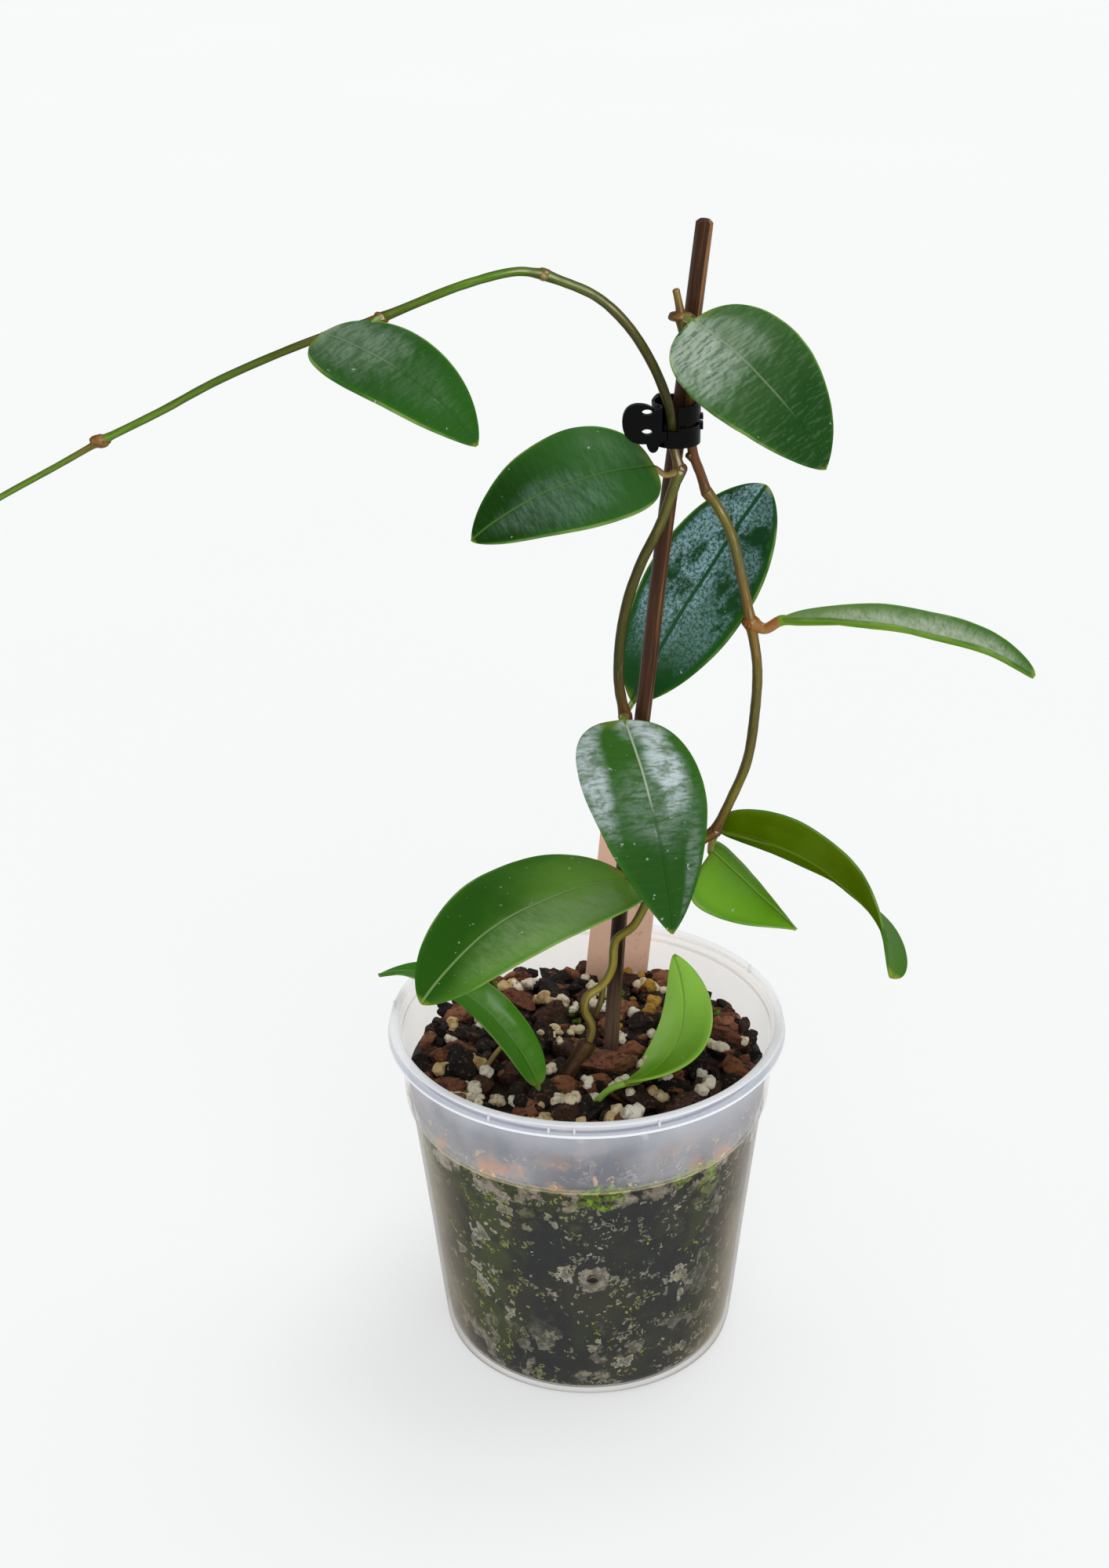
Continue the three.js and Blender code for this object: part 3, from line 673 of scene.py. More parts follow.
# Moss grows in small bright tufts where the mix stays damp. Each is a few soft cushions that cling to the
# chips.
moss = Finish("moss", Roughness=0.9, Specular_IOR_Level=0.2)
green = moss.mix("3f560c", "7c9424", moss.cloud(900, 3))
moss.show(Base_Color=green, Normal=moss.relief(moss.cloud(1600, 4), 0.0006))
heap = Heap()
throw = dice(83)
for count in range(9):
    x, y = dropped(47)
    for part in range(6):
        at = (x + between(-1.6, 1.6), y + between(-1.6, 1.6))
        at = (*at, seated(*at) - 0.1)
        heap.add(*grain_lump(at, between(0.6, 1.1), 2000 + count * 6 + part), shade("7a9a20"))
tufts = heap.piece("moss_tufts", moss)


# The cane is a split and stained bamboo-like stick, dark brown with tan streaks, greyer where it is damp
# near the mix. It is only pushed into the mix. Like the vine, it is a tube along a smooth curve.
def curve_through(points, steps):
    """A smooth line through points, with that many steps between each pair."""
    given = [np.array(p, float) for p in points]
    ends = [2 * given[0] - given[1], *given, 2 * given[-1] - given[-2]]
    line = []
    for a, b, c, d in zip(ends, ends[1:], ends[2:], ends[3:]):
        ab, bc, cd = (max(math.sqrt(np.linalg.norm(q - p)), 1e-3) for p, q in ((a, b), (b, c), (c, d)))
        start = ((b - a) / ab - (c - a) / (ab + bc) + (c - b) / bc) * bc
        finish = ((c - b) / bc - (d - b) / (bc + cd) + (d - c) / cd) * bc
        square, cube = 3 * (c - b) - 2 * start - finish, 2 * (b - c) + start + finish
        line += [b + start * t + square * t**2 + cube * t**3 for t in (i / steps for i in range(steps))]
    line.append(given[-1])
    return np.array(line)


def tube(line, radii, sides=14):
    """Points, faces and grain of a closed tube; its grain is a place in the tube rolled out straight."""
    ahead = np.gradient(line, axis=0)
    ahead /= np.linalg.norm(ahead, axis=1)[:, None]
    side = np.cross(ahead[0], (0.31, 0.77, 0.55))
    points, grain = [], []
    stations = [(line[0] - ahead[0] * radii[0] * 0.35, ahead[0], radii[0] * 0.6)]
    stations += list(zip(line, ahead, radii))
    stations += [(line[-1] + ahead[-1] * radii[-1] * 0.35, ahead[-1], radii[-1] * 0.6)]
    run = 0
    for k, (centre, along, radius) in enumerate(stations):
        run += np.linalg.norm(centre - stations[max(k - 1, 0)][0])
        side = side - along * (side @ along)
        side /= np.linalg.norm(side)
        other = np.cross(along, side)
        for across, aside in circle(1, sides):
            points.append(centre + radius * (across * side + aside * other))
            grain.append((across, aside, run / 10))
    return points, skinned(len(stations), sides), grain


CANE = [(5.3, 48), (7.5, 99), (11.3, 158), (17.1, 212), (22, 260), (26.8, 301), (32, 347)]
CANE_RADIUS = 2.3
stick = Finish("cane_wood", Specular_IOR_Level=0.1, Coat_Weight=0.08, Coat_Roughness=0.2)
roll = stick.kept("grain", out=1)
fibre = stick.cloud(5, 5, roll, stretch=(1, 1, 0.12), rough=0.65)
upper = stick.ramp(stick.axis(2), 0.19, 0.2)
damp = 1 - stick.ramp(stick.axis(2), 0.108, 0.13)
# One side of the cane is painted with tan streaks: partly its own streaks, partly a painted highlight down
# that side.
streaks_and_highlight = 1.6 * stick.cloud(2.2, 4, roll, stretch=(1, 1, 0.1)) - 0.6 * stick.axis(0, roll)
look = stick.layers(
    stick.mix("1c0d07", "482a1b", stick.ramp(fibre, 0.44, 0.66)),
    ("7c5236", upper * 0.22),
    ("b07c4c", stick.ramp(streaks_and_highlight, 1.2, 1.6) * (0.4 + 0.4 * upper)),
    ("80685a", damp * (0.6 + 0.35 * stick.ramp(fibre, 0.4, 0.6))),
)
stick.show(Base_Color=look, Normal=stick.relief(fibre, 0.0004), Roughness=0.3 + 0.3 * stick.cloud(90))
line = curve_through([(x, 1, z) for x, z in CANE], 14)
radii = [CANE_RADIUS * (1 + 0.03 * noise.noise(Vector(p) * 0.08)) for p in line]
points, faces, grain = tube(line, radii, 20)
cane = piece("brown_cane", points, faces, [stick])
keep(cane, "grain", "FLOAT_VECTOR", grain)
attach(cane, "root")
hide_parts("cane")

# The dry twig is a thin bit of dead stem, straw brown. It lies loose on the chips at the left, under the
# low leaf.
straw = Finish("dry_twig", Roughness=0.6)
straw.show(Base_Color=straw.mix("7c6428", "a68c48", straw.cloud(500, 3)))
line = curve_through([(-24, 4, 97.6), (-28, -6, 98.2), (-31.4, -14, 96.6)], 8)
points, faces, grain = tube(line, [0.75] * len(line), 10)
twig = piece("dry_twig", points, faces, [straw])
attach(twig, "root")

# The label is a blank plastic tag in a pinkish beige, cut from thin sheet with a pointed foot and round
# top corners. It is pushed into the mix behind the cane.
LABEL_HALF, LABEL_FOOT, LABEL_TOP, LABEL_CORNER, LABEL_HALF_THICK, LABEL_EDGE = 9.8, -42, 58, 3, 0.45, 0.2
outline = [(0, LABEL_FOOT), (LABEL_HALF, LABEL_FOOT + 12)]
for inward, down in ((0, LABEL_CORNER), (0.9, 0.9), (LABEL_CORNER, 0)):
    outline.append((LABEL_HALF - inward, LABEL_TOP - down))
outline += [(-x, z) for x, z in outline[:0:-1]]
flat = LABEL_HALF_THICK - LABEL_EDGE
tag_points = []
for depth, inset in ((LABEL_HALF_THICK, LABEL_EDGE), (flat, 0), (-flat, 0), (-LABEL_HALF_THICK, LABEL_EDGE)):
    tag_points += [(x * (1 - inset / LABEL_HALF), depth, z * (1 - inset / LABEL_TOP)) for x, z in outline]
lean = Matrix.Translation((9.8, 44, 98.5)) @ Matrix.Rotation(math.radians(5.5), 4, "Y")
# The label glows a little in its own colour: painted light through the thin sheet.
beige = Finish("beige_plastic", Roughness=0.55, Emission_Strength=0.16)
look = beige.layers(
    beige.mix("efc0a8", "f8ccb6", beige.cloud(60, 4)),
    ("8d6456", beige.spots(700, 4, 0.6, 0.72) * 0.35),
    ("7c5a48", (1 - beige.ramp(beige.axis(2), 0.096, 0.108)) * 0.4),
)
beige.show(Base_Color=look, Emission_Color=look, Normal=beige.relief(beige.cloud(900, 3), 0.0001))
label = piece("blank_label", [lean @ Vector(p) for p in tag_points], skinned(4, len(outline)), [beige])
label.data.shade_flat()
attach(label, "root")
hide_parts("label")

# The clip is one springy moulding in satin black plastic: a ring in two bands round the cane and the
# vine, with two finger tabs. Its own solid shows, with its edges eased.
satin = Finish("satin_black", Specular_IOR_Level=0.03, Coat_Weight=0.1, Coat_Roughness=0.08)
satin.show(
    Base_Color=satin.mix("020203", "07080a", satin.cloud(160, 3)),
    Roughness=0.26 + 0.2 * satin.cloud(400, 3),
    Normal=satin.relief(satin.cloud(1200, 2), 0.00008),
)
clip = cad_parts["clip"]
clip.data.materials.clear()
clip.data.materials.append(satin.material)
eased = clip.modifiers.new("eased", "BEVEL")
eased.width = 0.22 * MM
eased.segments = 3
eased.limit_method = "ANGLE"
eased.angle_limit = math.radians(40)
eased.harden_normals = True

# The vine is one grown stem: woody at its foot, then green to olive lengths that meet in swollen brown
# nodes, a cut stub at the top, a thin root in the air and a long young runner to the left.
NODES = {
    "first": (18.6, -4.8, 152),
    "left": (11.5, -3, 209.5),
    "clip": (26, -5.7, 282.5),
    "crest": (-9.4, -17, 338.3),
    "whip_leaf": (-51, -19, 328),
    "whip_end": (-125.3, -20, 296.5),
    "right": (37.8, 1.5, 170.2),
    "bow": (46.6, 1, 235.7),
    "upper": (33.5, 0.6, 274.3),
    "top": (25.9, -6.4, 324.3),
}
# Each length has its radius, how much it swells at its start and its end, its colours, and its path.
LENGTHS = [
    (2.6, 0, 0.1, "3a2318 4a2e20 6a4c33", [
        (-6.4, -14, 80), (-6.2, -13, 95), (-3, -10.6, 99.4), (0.3, -9, 104.4),
    ]),
    (1.3, 0, 1, "6a4c33 a08a48 c2aa50 a3953a 7e7a2e", [
        (-3, -10.6, 99.4), (0.5, -9, 104.6), (1.6, -8, 109.5), (-0.5, -8, 115.8), (0.2, -8, 120),
        (4.9, -7, 123.6), (7.7, -6.5, 129), (8.8, -6, 138), (14.1, -6, 143.2), "first",
    ]),
    (1.6, 0.5, 0.9, "7a4c24 6a7022 4d5a20 5a5c24 7a4c24", [
        "first", (20, -4.6, 162), (18.6, -4.6, 180), (14, -4.2, 198), "left",
    ]),
    (1.5, 0.5, 0.7, "7a4c24 857c2c 7a4c24", ["first", (23, -3.6, 158), (30, -0.5, 165), "right"]),
    (1.45, 0.7, 0.9, "7a4c24 857c2c 6a6430 7a7038 9a7232", [
        "right", (41.9, 1, 180), (46.5, 1, 192.8), (48.4, 1, 208.3), (48.7, 1, 222.3), "bow",
    ]),
    (1.45, 0.7, 0.6, "9a7232 7d7440 857c2c 86693a", [
        "bow", (43.9, 1, 248.4), (40.4, 1, 262.2), (36.4, 0.9, 270.2), "upper",
    ]),
    (1.35, 0.4, 0.8, "7d5630 85552f 7a5c30 73602e", [
        "upper", (32, 0.2, 279.1), (29.8, -0.9, 285.4), (28.9, -1.6, 293), (28.8, -2.8, 301.5),
        (29.3, -4.4, 308), (27.2, -6, 317), "top",
    ]),
    (1.5, 0.8, 0.9, "7a4c24 4d4c20 54501f 5f5c28 7a7c3c", [
        "left", (9.9, -4.6, 219), (9.9, -5, 230), (12, -5, 244), (15.9, -5, 256), (21, -5.4, 267), "clip",
    ]),
    (1.3, 0.8, 0.5, "8d6c40 62622e 4c4a22 504e26 605f2c 5c7a28", [
        "clip", (24.4, -4.4, 288.8), (24.2, -4.3, 292.2), (23.6, -6.4, 297.4), (22.5, -8.7, 302.4),
        (18.4, -10.8, 313), (11.8, -13, 324), (3.8, -15, 332), "crest",
    ]),
    (1.15, 0.6, 0.6, "66642a 5c8c1a 6b9c26 687a2a", [
        "crest", (-16, -18, 339.3), (-29, -18.5, 336.4), "whip_leaf",
    ]),
    (1.05, 0.6, 0.7, "7a6c34 5c6a20 668e28 74a02e", [
        "whip_leaf", (-69, -19.5, 322.4), (-93, -20, 312.6), (-109, -20, 304.3), "whip_end",
    ]),
    (0.85, 0.6, 0, "94723c 6c962a 78a030 82a838", [
        "whip_end", (-136.5, -20, 290.3), (-153.2, -20, 281.4), (-163, -20, 275.6),
    ]),
    (0.9, 0.3, 0, "8d7b42 9a8258 7a5c44", [(5, -7, 123.6), (4.4, -6.4, 118), (2.6, -5, 111.5)]),
    (1, 0.5, 0, "7a4a2a 9a7c3a a8893f", ["top", (25.2, -6.3, 328), (24.5, -6.2, 331.2)]),
    (1, 0, 0, "7a4c24 7a4a35", [(30.9, 0, 282.4), (28.4, -1.6, 285.4)]),
]


def colours_along(codes, count):
    """Colours blended evenly from the first code to the last."""
    given = np.array([shade(code) for code in codes.split()])
    at = np.linspace(0, len(given) - 1, count)
    return np.stack([np.interp(at, range(len(given)), given[:, k]) for k in range(4)], 1)


# The skin is painted darker down the flanks of the vine, as painted shade, with a painted highlight line
# down its front and its back above the mix.
LIGHT_SIDE = (0.25, -0.9, 0.36)
skin = Finish("vine_skin", Specular_IOR_Level=0.05, Coat_Weight=0.16, Coat_Roughness=0.1)
roll = skin.kept("grain", out=1)
fibre = skin.cloud(3, 4, roll, stretch=(1, 1, 0.5), rough=0.6)
outward = skin.node("TexCoord", {}, {}, out=1)
# How squarely the skin faces a fixed side, front or back: the flanks away from it get painted shade, and the
# faces square to it a painted highlight line.
toward_light = abs(skin.node("VectorMath", {"operation": "DOT_PRODUCT"}, {0: outward, 1: LIGHT_SIDE}, out=1))
wax = skin.ramp(toward_light, 0.94, 0.99) * (0.22 + 0.5 * skin.spots(70, 3, 0.42, 0.58))
look = skin.layers(
    skin.kept("tone"),
    ("33290f", skin.ramp(fibre, 0.5, 0.68) * 0.5),
    ("b59a62", skin.spots(4, 4, 0.56, 0.68, where=roll, stretch=(1, 1, 0.35)) * 0.35),
    ("1f190a", (1 - skin.ramp(toward_light, 0.5, 1)) * 0.58),
    ("ece2c4", wax * skin.ramp(skin.axis(2), 0.108, 0.13)),
)
skin.show(Base_Color=look, Normal=skin.relief(fibre, 0.00025), Roughness=0.24 + 0.25 * skin.cloud(350))

SIDES, SWELL_REACH = 14, 2.4
heap = Heap()
vine_grain = []
for radius, swell_start, swell_end, codes, path in LENGTHS:
    line = curve_through([NODES.get(place, place) for place in path], 9)
    run = np.concatenate([[0], np.cumsum(np.linalg.norm(np.diff(line, axis=0), axis=1))])
    near_start = np.exp(-((run / SWELL_REACH) ** 2))
    near_end = np.exp(-(((run[-1] - run) / SWELL_REACH) ** 2))
    radii = radius + 0.55 * (swell_start * near_start + swell_end * near_end)
    radii = [r * (1 + 0.05 * noise.noise(Vector(p) * 0.45)) for r, p in zip(radii, line)]
    points, faces, grain = tube(line, radii, SIDES)
    rings = colours_along(codes, len(line))
    heap.add(points, faces, np.repeat(np.concatenate([rings[:1], rings, rings[-1:]]), SIDES, 0))
    vine_grain += grain

# Each node is a knobbly brown collar, broad and flat at the top one.
ORDINARY_KNOT = ((1.9, 1.9, 2.1), "7d5634")
KNOTS = {
    "top": ((3.3, 2.4, 1.5), "8c6636"),
    "crest": ((2, 1.7, 1.6), "9c8444"),
    "whip_end": ((2.7, 1.7, 1.9), "a0703a"),
    "whip_leaf": ((2.1, 1.7, 1.7), "9c6a38"),
    "upper": ((1.5, 1.5, 1.3), "86603a"),
    "bow": ((2.5, 2.3, 2.5), "9a5e22"),
}
knot_points, knot_faces = ball(3)
for name, at in NODES.items():
    size, code = KNOTS.get(name, ORDINARY_KNOT)
    bulges = [1 + 0.22 * noise.noise(Vector(p) * 1.7 + Vector(at)) for p in knot_points]
    heap.add(knot_points * size * np.array(bulges)[:, None] + np.array(at), knot_faces, shade(code))
    vine_grain += knot_points.tolist()
vine = heap.piece("grown_vine", skin)
keep(vine, "grain", "FLOAT_VECTOR", vine_grain)
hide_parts("stem")


# The leaves are thick and waxy, each one blade bent along its midrib on a short petiole. The top is grooved
# along the midrib, the underside ridged, and each leaf has its own green, its own gloss and its own painted
# highlights.
def leaf_line(leaf, count):
    """Places and directions along a blade, from its base to its tip."""
    tilt = [math.radians(angle) for angle in (leaf.roll, -leaf.pitch, leaf.heading)]
    turn = np.array(Euler(tilt).to_matrix())
    sweep = math.radians(leaf.sweep)

    def along(t):
        droop = -math.radians(leaf.arch) * t - math.radians(leaf.hook) * max(0, (t - 0.6) / 0.4)
        level = math.cos(droop)
        return np.array([level * math.cos(sweep * t), level * math.sin(sweep * t), math.sin(droop)])

    fine = 80
    spine = [np.zeros(3)]
    for i in range(fine):
        spine.append(spine[-1] + along((i + 0.5) / fine) * leaf.length / fine)
    spine = np.array(spine)
    stations = []
    for i in range(count + 1):
        t = (1 - math.cos(math.pi * i / count)) / 2
        centre = np.array([np.interp(t * fine, range(fine + 1), spine[:, k]) for k in range(3)])
        ahead = along(t)
        side = Vector((-math.sin(sweep * t), math.cos(sweep * t), 0))
        side = np.array(Matrix.Rotation(math.radians(leaf.twist) * t**3, 3, Vector(ahead)) @ side)
        up = np.cross(ahead, side)
        stations.append((t, turn @ centre + np.array(leaf.base), turn @ side, turn @ up))
    return stations


def leaf_share(t, shape):
    """The half width at t along a blade, as a share of its greatest half width."""
    full, taper = shape
    widest = full / (full + taper)
    return (t / widest) ** full * max(0, (1 - t) / (1 - widest)) ** taper


def blade_finish(leaf, side, **constants):
    """A finish for one side of a blade, and four measures of where on the blade a place is.

    They are u across it, from -1 to 1, t along it, from 0 to 1, span, its place on the blade laid flat, in
    decimetres, and across, how far it is from the midrib there.
    """
    made = Finish(leaf.name + side, Specular_IOR_Level=0, **constants)
    share = made.node("UVMap", {"uv_map": "share"}, {})
    span = made.node("UVMap", {"uv_map": "span"}, {})
    return made, made.axis(0, share) * 2 - 1, made.axis(1, share), span, abs(made.axis(0, span) - 0.5)


def leaf_top_finish(leaf):
    # Some blades glow a little in their own colour: painted light through the thin blade.
    coat_and_glow = {"Coat_IOR": 1.6, "Coat_Roughness": 0.14, "Emission_Strength": leaf.glow}
    made, u, t, span, across = blade_finish(leaf, "_top", **coat_and_glow)
    # From base to tip, and by its lean from side to side, the blade goes from its light colour to its deep
    # colour: partly its own colour, partly painted shade.
    shaded = made.ramp(t + leaf.lean * u + 0.5 * made.cloud(4, 3, span), 0.3, 1.1)

    # Fine creases run across the blade, and show most where it gleams.
    crease = {"where": span, "stretch": (0.4, 1.3, 1), "rough": 0.62}
    creases = made.cloud(38, 5, **crease)
    slope = creases - made.cloud(38, 5, **crease, shift=(0.002, 0.007, 0))
    # The creases get painted highlights and painted shade on their two sides, as well as a bump, strongest
    # in the gleams.
    painted_crease_highlight, painted_crease_shade = made.ramp(slope, 0, 0.12), made.ramp(0 - slope, 0, 0.12)
    # Each gleam is a painted highlight: a soft, broken patch in the gleam colour.
    window = 0
    for at_t, at_u, reach_t, reach_u, strength in leaf.gleams:
        along_gap, across_gap = (t - at_t) * (1 / reach_t), (u - at_u) * (1 / reach_u)
        apart = (along_gap * along_gap + across_gap * across_gap).math("SQRT")
        apart = apart + 0.8 * (made.cloud(8, 5, span, rough=0.6) - 0.5)
        window = (strength * (1 - made.ramp(apart, 0.35, 1.15))).math("MAXIMUM", window)
    broken = made.spots(22, 5, 0.34, 0.6, where=span, stretch=(0.7, 1.3, 1), rough=0.65)
    broken = broken * leaf.broken + (1 - leaf.broken)
    lines = (0.8 + 0.2 * painted_crease_highlight - 0.5 * painted_crease_shade * (1.25 - window)) * window * broken
    # Silver patches spare the midrib, the margins and the base: partly the leaf's own silvery bloom, partly
    # painted sheen.
    silver = made.spots(9, 6, 0.4, 0.52, where=span, stretch=(1, 0.7, 1), rough=0.72, shift=(0.4, 0.9, 0))
    silver = silver * (0.12 + 0.88 * made.spots(95, 6, 0.44, 0.56, where=span, rough=0.85))
    silver = silver * (1 - 0.5 * made.ramp(0 - u, 0.05, 0.3)) * made.ramp(across, 0.004, 0.008)
    silver = silver * (1 - made.ramp(abs(u), 0.78, 0.92)) * made.ramp(t, 0.1, 0.4)
    shine = (lines * leaf.gleam).math("MAXIMUM", silver * leaf.silver)
    crease_painting = (0.2 + 0.8 * window) * leaf.crease
    # A darker line is painted along the midrib's groove in the deep colour, as painted shade; near the base
    # the midrib has its own paler colour over it.
    rib = 1 - made.ramp(across, 0.0025, 0.006)
    faded = made.ramp(t, leaf.rib_reach * 0.7, leaf.rib_reach)
    edge_line = made.ramp(abs(u), 0.955, 0.985) * made.spots(5, 3, 0.4, 0.6, where=span)
    scar = made.spots(42, 2, leaf.scars, leaf.scars + 0.02, where=span)
    look = made.layers(
        made.mix(leaf.light, leaf.deep, shaded),
        (leaf.rim, made.ramp(abs(u), 0.8, 1) * leaf.rim_strength),
        (leaf.foot, (1 - made.ramp(t, 0, 0.06)) * 0.7),
        ("8fa52c", made.ramp(t, 0.97, 0.995) * 0.8),
        (leaf.gleam_tone, shine),
        (leaf.deep, painted_crease_shade * crease_painting),
        (leaf.crease_tone, painted_crease_highlight * crease_painting * 0.6),
        (leaf.deep, rib * 0.5),
        (leaf.rib, rib * (1 - faded) * leaf.rib_strength),
        ("9dbd62", edge_line * leaf.edge),
        ("bccabf", scar * made.spots(120, 2, 0.45, 0.5, where=span) * 0.7),
    )
    bumps = made.relief(made.ramp(across, 0.002, 0.009), 0.00035)
    bumps = made.relief(creases, leaf.crinkle * MM, bumps)
    bumps = made.relief(made.cloud(110, 2, span), 0.00003 + leaf.dimples * MM, bumps)
    wax = 0.1 + leaf.wax * window
    return made.show(Base_Color=look, Emission_Color=look, Coat_Weight=wax, Normal=bumps)


def leaf_under_finish(leaf):
    made, u, _, span, across = blade_finish(leaf, "_under")
    look = made.layers(
        made.mix(leaf.under, leaf.under_light, made.spots(5, 3, 0.36, 0.68, where=span)),
        (leaf.under_light, made.ramp(abs(u), 0.8, 1) * 0.8),
        ("93a548", (1 - made.ramp(across, 0.003, 0.014)) * 0.35),
    )
    bumps = made.relief(made.cloud(90, 4, span), 0.00006)
    return made.show(Base_Color=look, Roughness=0.42 + 0.15 * made.cloud(50, 3, span), Normal=bumps)


def leaf_stalk_finish(leaf):
    made = Finish(leaf.name + "_stalk", Roughness=0.35, Coat_Weight=0.2)
    look = made.mix(leaf.stalk, leaf.under_light, made.spots(300, 3, 0.45, 0.65) * 0.4)
    return made.show(Base_Color=look, Normal=made.relief(made.cloud(500, 4), 0.0002))


ROWS, COLUMNS, STALK_SIDES = 52, 22, 12
ORDINARY = dict(
    shape=(0.4, 0.8), hook=5, cup=0, wrinkle=0.06, via=[], radius=1, stalk="6f7a2f", foot="7f9a3a",
    deep="2f5f24", light="427a33", lean=0, rim="3c7a22", rim_strength=0.35, edge=0.55, scars=0.73,
    rib="6f9a4a", rib_strength=0.4, rib_reach=1.3, under="55731f", under_light="6d8f2e", wax=0.3, glow=0,
    gleam=0.15, gleams=[(0.3, 0, 0.3, 0.6, 1)], gleam_tone="8fae90", broken=0.5, silver=0,
    crease=0.1, crease_tone="6f9660", crinkle=0.15, dimples=0,
)


def grow_leaf(**own):
    """Makes one leaf; whatever isn't said of it is ordinary."""
    leaf = SimpleNamespace(**{**ORDINARY, **own})
    stations = leaf_line(leaf, ROWS)
    top, under, shares, spans = [], [], [], []
    for t, centre, side, up in stations:
        half = max(0.5 - 0.4 * t, leaf.width / 2 * leaf_share(t, leaf.shape))
        fade = math.sin(math.pi * min(1, max(0, t))) ** 0.5
        y = t * leaf.length
        for j in range(COLUMNS + 1):
            u = -math.cos(math.pi * j / COLUMNS)
            s = half * u
            ripple = 0.7 * noise.noise(Vector((s * 0.06, y * 0.06, len(leaf.name) * 3.7)))
            fold = 2.2 * leaf.wrinkle * noise.noise(Vector((s * 0.09, y * 0.38, len(leaf.name) * 1.9)))
            fold = fold * (0.4 + abs(u)) * (1 - 0.7 * abs(u) ** 3)
            groove = 0.25 * math.exp(-((s / 1.6) ** 2)) * fade
            thick = 0.34 + 0.3 * (1 - u * u)
            at = centre + side * s + up * (leaf.cup * half * u * u + fade * (ripple + fold))
            top.append(at + up * (thick - groove))
            under.append(at - up * (thick + 0.9 * groove))
            shares.append(((u + 1) / 2, t))
            spans.append((0.5 + s / 100, y / 100))
    across, below, last = COLUMNS + 1, len(top), ROWS * (COLUMNS + 1)
    faces, which = [], []
    for i in range(ROWS):
        for j in range(COLUMNS):
            a = i * across + j
            b = a + across
            faces += [[a, b, b + 1, a + 1], [below + a + 1, below + b + 1, below + b, below + a]]
            which += [0, 1]
        left, other = i * across, i * across + COLUMNS
        faces += [[left, below + left, below + left + across, left + across]]
        faces += [[other, other + across, below + other + across, below + other]]
        which += [0, 0]
    for j in range(COLUMNS):
        faces += [[j, j + 1, below + j + 1, below + j]]
        faces += [[last + j + 1, last + j, below + last + j, below + last + j + 1]]
        which += [0, 0]
    points = top + under

    # The petiole springs from its node and runs on under the blade as the start of the midrib's ridge.
    under_rib = [centre - up * 0.75 for _, centre, _, up in (stations[9], stations[16])]
    base = np.array(leaf.base) - stations[0][3] * 0.25
    path = [NODES.get(leaf.start, leaf.start), *leaf.via, base, *under_rib]
    line = curve_through(path, 8)
    blade_from = 1 - 2 / (len(path) - 1)
    radii = []
    for s in np.linspace(0, 1, len(line)):
        thinner = 0.72 * max(0, (s - blade_from) / (1 - blade_from))
        radii.append(leaf.radius * (1 + 0.5 * math.exp(-((s / 0.12) ** 2))) * (1 - thinner))
    stalk_points, stalk_faces, _ = tube(line, radii, STALK_SIDES)
    faces += [[len(points) + k for k in face] for face in stalk_faces]
    points += stalk_points
    free = int(blade_from * len(line)) * STALK_SIDES
    which += [2] * free + [1] * (len(stalk_faces) - free)

    finishes = [leaf_top_finish(leaf), leaf_under_finish(leaf), leaf_stalk_finish(leaf)]
    made = piece(leaf.name + "_blade", points, faces, finishes, which)
    corners = np.zeros(len(made.data.loops), np.int32)
    made.data.loops.foreach_get("vertex_index", corners)
    for layer_name, values in (("share", shares), ("span", spans)):
        values = values * 2 + [(0.5, 0)] * len(stalk_points)
        layer = made.data.uv_layers.new(name=layer_name)
        layer.data.foreach_set("uv", np.array(values, np.float32)[corners].ravel())
    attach(made, "root")
    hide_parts(leaf.name)


# Each gleam is a painted highlight, with its place along and across the blade, its reach both ways, and its
# strength.
grow_leaf(
    name="leaf_whip", base=(-64.4, -33.8, 327.9), length=49, width=37.3, heading=-23, pitch=-11, roll=5,
    arch=37, sweep=-1, twist=3, start="whip_leaf", via=[(-53.6, -23.6, 327.2), (-60.2, -30.6, 327)],
    radius=0.8, stalk="7da035",
    deep="2e621f", light="234e17", rib="8aa582", rib_reach=0.5, crease=0.4, scars=0.71,
    gleam=0.55, gleams=[(0.12, 0.1, 0.4, 1.1, 1), (0.5, 0, 0.4, 0.8, 0.25)], gleam_tone="8fa68f",
)
grow_leaf(
    name="leaf_top", base=(28.6, -10, 324), length=53, width=39.5, heading=-36, pitch=-20, roll=17,
    arch=39, sweep=-6, twist=1, cup=-0.04, start="top",
    deep="244d1e", light="4c7040", lean=0.1, rib="8faa80", rib_strength=0.45, rib_reach=0.75, crease=1,
    crease_tone="8fab86", crinkle=0.5, wrinkle=0.16, wax=0.4, gleam=0.58,
    gleams=[(0.06, -0.5, 0.42, 0.85, 1), (0.22, 0.3, 0.22, 0.3, 0.3)], broken=0.6, gleam_tone="b4c6b8",
)
grow_leaf(
    name="leaf_middle_left", base=(19.1, -8, 284.1), length=54.2, width=38.9, heading=200, pitch=5, roll=-20,
    arch=47, sweep=3, twist=-6, cup=0.04, start="clip", via=[(22.2, -8.2, 282)], radius=0.8,
    deep="1c430f", light="3b6e31", rib="5f8f3c", rib_strength=0.5, crease=0.3, stalk="a07a42",
    gleam=0.34, gleams=[(0.55, 0.3, 0.36, 0.7, 1), (0.15, -0.3, 0.3, 0.6, 0.3)], broken=0.7,
    gleam_tone="82a396",
)
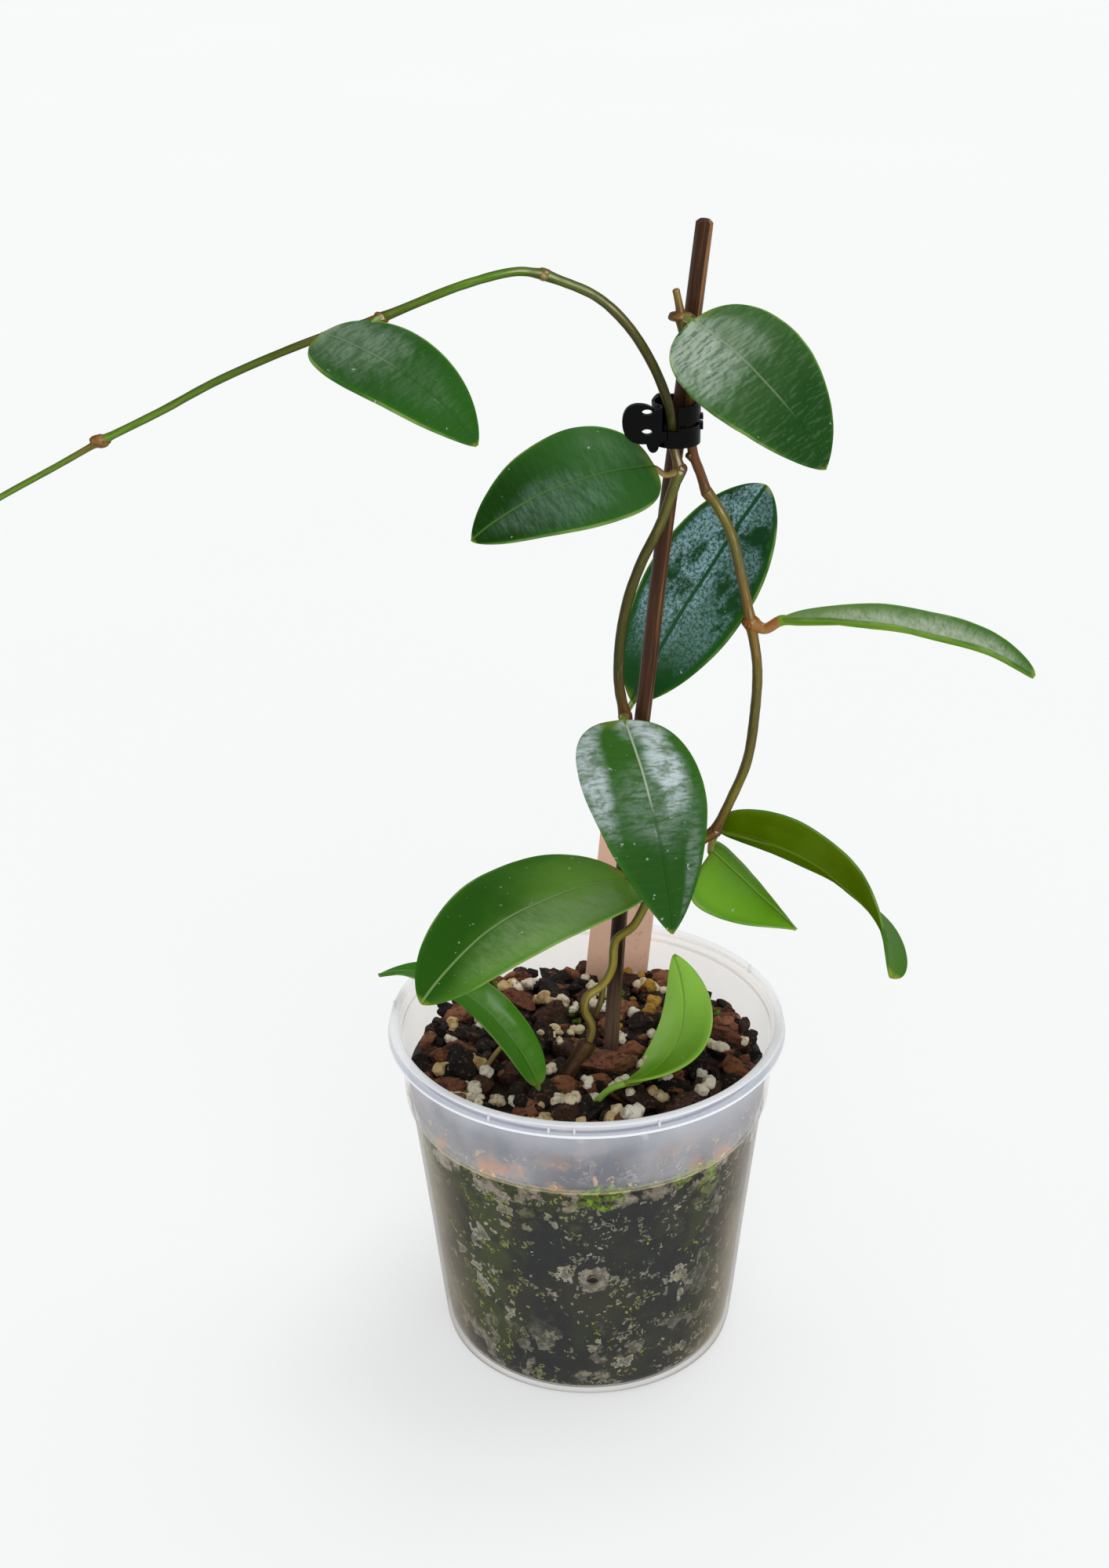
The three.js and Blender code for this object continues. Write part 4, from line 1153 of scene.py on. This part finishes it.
grow_leaf(
    name="leaf_behind_cane", base=(13.8, 8, 208.7), length=72.2, width=38.6, shape=(0.7, 0.65), heading=28,
    pitch=59, roll=15, arch=9, hook=-5, sweep=-7, twist=4, start="left", via=[(11.6, 2.4, 207.2)],
    radius=0.9, stalk="7f9a26", foot="7f9a26",
    deep="1a4523", light="1f5222", rib="235a30", rib_strength=0.8, gleam=0, gleam_tone="9cc4cc", silver=1,
    dimples=0.1,
)
grow_leaf(
    name="leaf_front", base=(11, -9, 210.5), length=62.2, width=42.4, shape=(0.35, 0.85), heading=-66,
    pitch=-38, roll=-17, arch=25, sweep=2, twist=0, cup=-0.04, start="left", stalk="8d7b42",
    deep="2c5a1f", light="3f7028", rib="c4d4bc", rib_strength=0.8, rib_reach=0.5, scars=0.68, edge=0.1,
    gleams=[
        (0.22, 0.42, 0.3, 0.42, 1), (0.26, -0.85, 0.32, 0.32, 0.85), (0.03, 0.3, 0.1, 0.7, 0.8),
        (0.7, 0.72, 0.34, 0.22, 0.2), (0.42, 0.1, 0.24, 0.9, 0.22),
    ],
    gleam=1, broken=0.75, gleam_tone="eaf5ff", crease=0.3, crinkle=0.25, wrinkle=0.1, wax=0.7,
)
grow_leaf(
    name="leaf_lower_left", base=(13.5, -8, 159.2), length=77.5, width=43.2, shape=(0.4, 0.7), heading=212,
    pitch=15, roll=1, arch=52, hook=9, sweep=6, twist=-19, cup=0.07, start="first", via=[(17, -9, 154.6)],
    deep="2c5e14", light="78ab42", lean=-0.4, rib="9fbf7c", rib_strength=0.55, stalk="8a8a38", foot="a8a040",
    gleam=0.5, gleams=[(0.45, 0.5, 0.4, 0.6, 1)], broken=0.7, gleam_tone="9ab486", scars=0.7,
)
grow_leaf(
    name="leaf_right", base=(55, -1, 237.3), length=71.7, width=33.3, shape=(0.65, 0.55), heading=-9,
    pitch=4, roll=-13, arch=23, hook=11, sweep=-1, twist=4, cup=0.2, start="bow",
    via=[(50.4, -0.3, 234.3)], radius=1.55,
    deep="4a7530", light="6f9050", rib="83a84f", gleam=0.9, gleams=[(0.55, 0.2, 0.5, 0.7, 1)], broken=0.4,
    gleam_tone="c4d2b6", under="5f8a24", under_light="7ca23a", stalk="a0621e",
)
grow_leaf(
    name="leaf_right_drooping", base=(39.3, 9, 167), length=74.7, width=34.9, shape=(0.4, 0.5), heading=-16,
    pitch=-2, roll=-51, arch=56, hook=25, sweep=-1, twist=21, cup=0.18, start="right",
    via=[(38.1, 6.4, 168.2)], stalk="7a6a30",
    deep="4b7a24", light="5f9032", under="4f6a03", under_light="5c7812",
)
grow_leaf(
    name="leaf_lower_right", base=(36.9, 2.5, 163), length=35, width=33, shape=(0.22, 1.08), heading=-14,
    pitch=-41, roll=5, arch=4, hook=0, sweep=4, twist=-2, cup=-0.4, start="right", stalk="8a7a30",
    deep="6aa420", light="7db636", rib="9cc46a", rib_strength=0.5, gleam=0.1, wax=0.1, glow=0.03,
)
grow_leaf(
    name="leaf_in_pot_right", base=(11.4, -30, 104.1), length=51, width=31.3, shape=(0.4, 0.78), heading=32,
    pitch=-12, roll=-34, arch=-111, hook=0, sweep=2, twist=4, cup=-0.03, start=(0, -29.5, 90),
    via=[(2.4, -29.8, 96.5), (6.6, -30, 101.8)], deep="a4de5a", light="5c8f1a", lean=0.1, rim="a6dc58",
    rib="5f932c", rib_strength=0.3, gleam=0.3, gleams=[(0.6, 0.7, 0.4, 0.4, 1)], gleam_tone="b8e08a",
    wax=0.15, stalk="86b83a", glow=0.12,
)
grow_leaf(
    name="leaf_in_pot_left", base=(-14.4, -24, 99.3), length=72.8, width=16, shape=(0.42, 0.74), heading=131,
    pitch=54, roll=12, arch=86, hook=0, sweep=2, twist=-6, cup=0.25, start=(-13.4, -26, 88),
    via=[(-13.8, -25, 95)], deep="3d7a1a", light="4f8c26", rib="8fb56a", rib_strength=0.3, stalk="55802a",
    gleam=0.25, gleams=[(0.3, -0.3, 0.3, 0.5, 1)], gleam_tone="8fb86a",
)
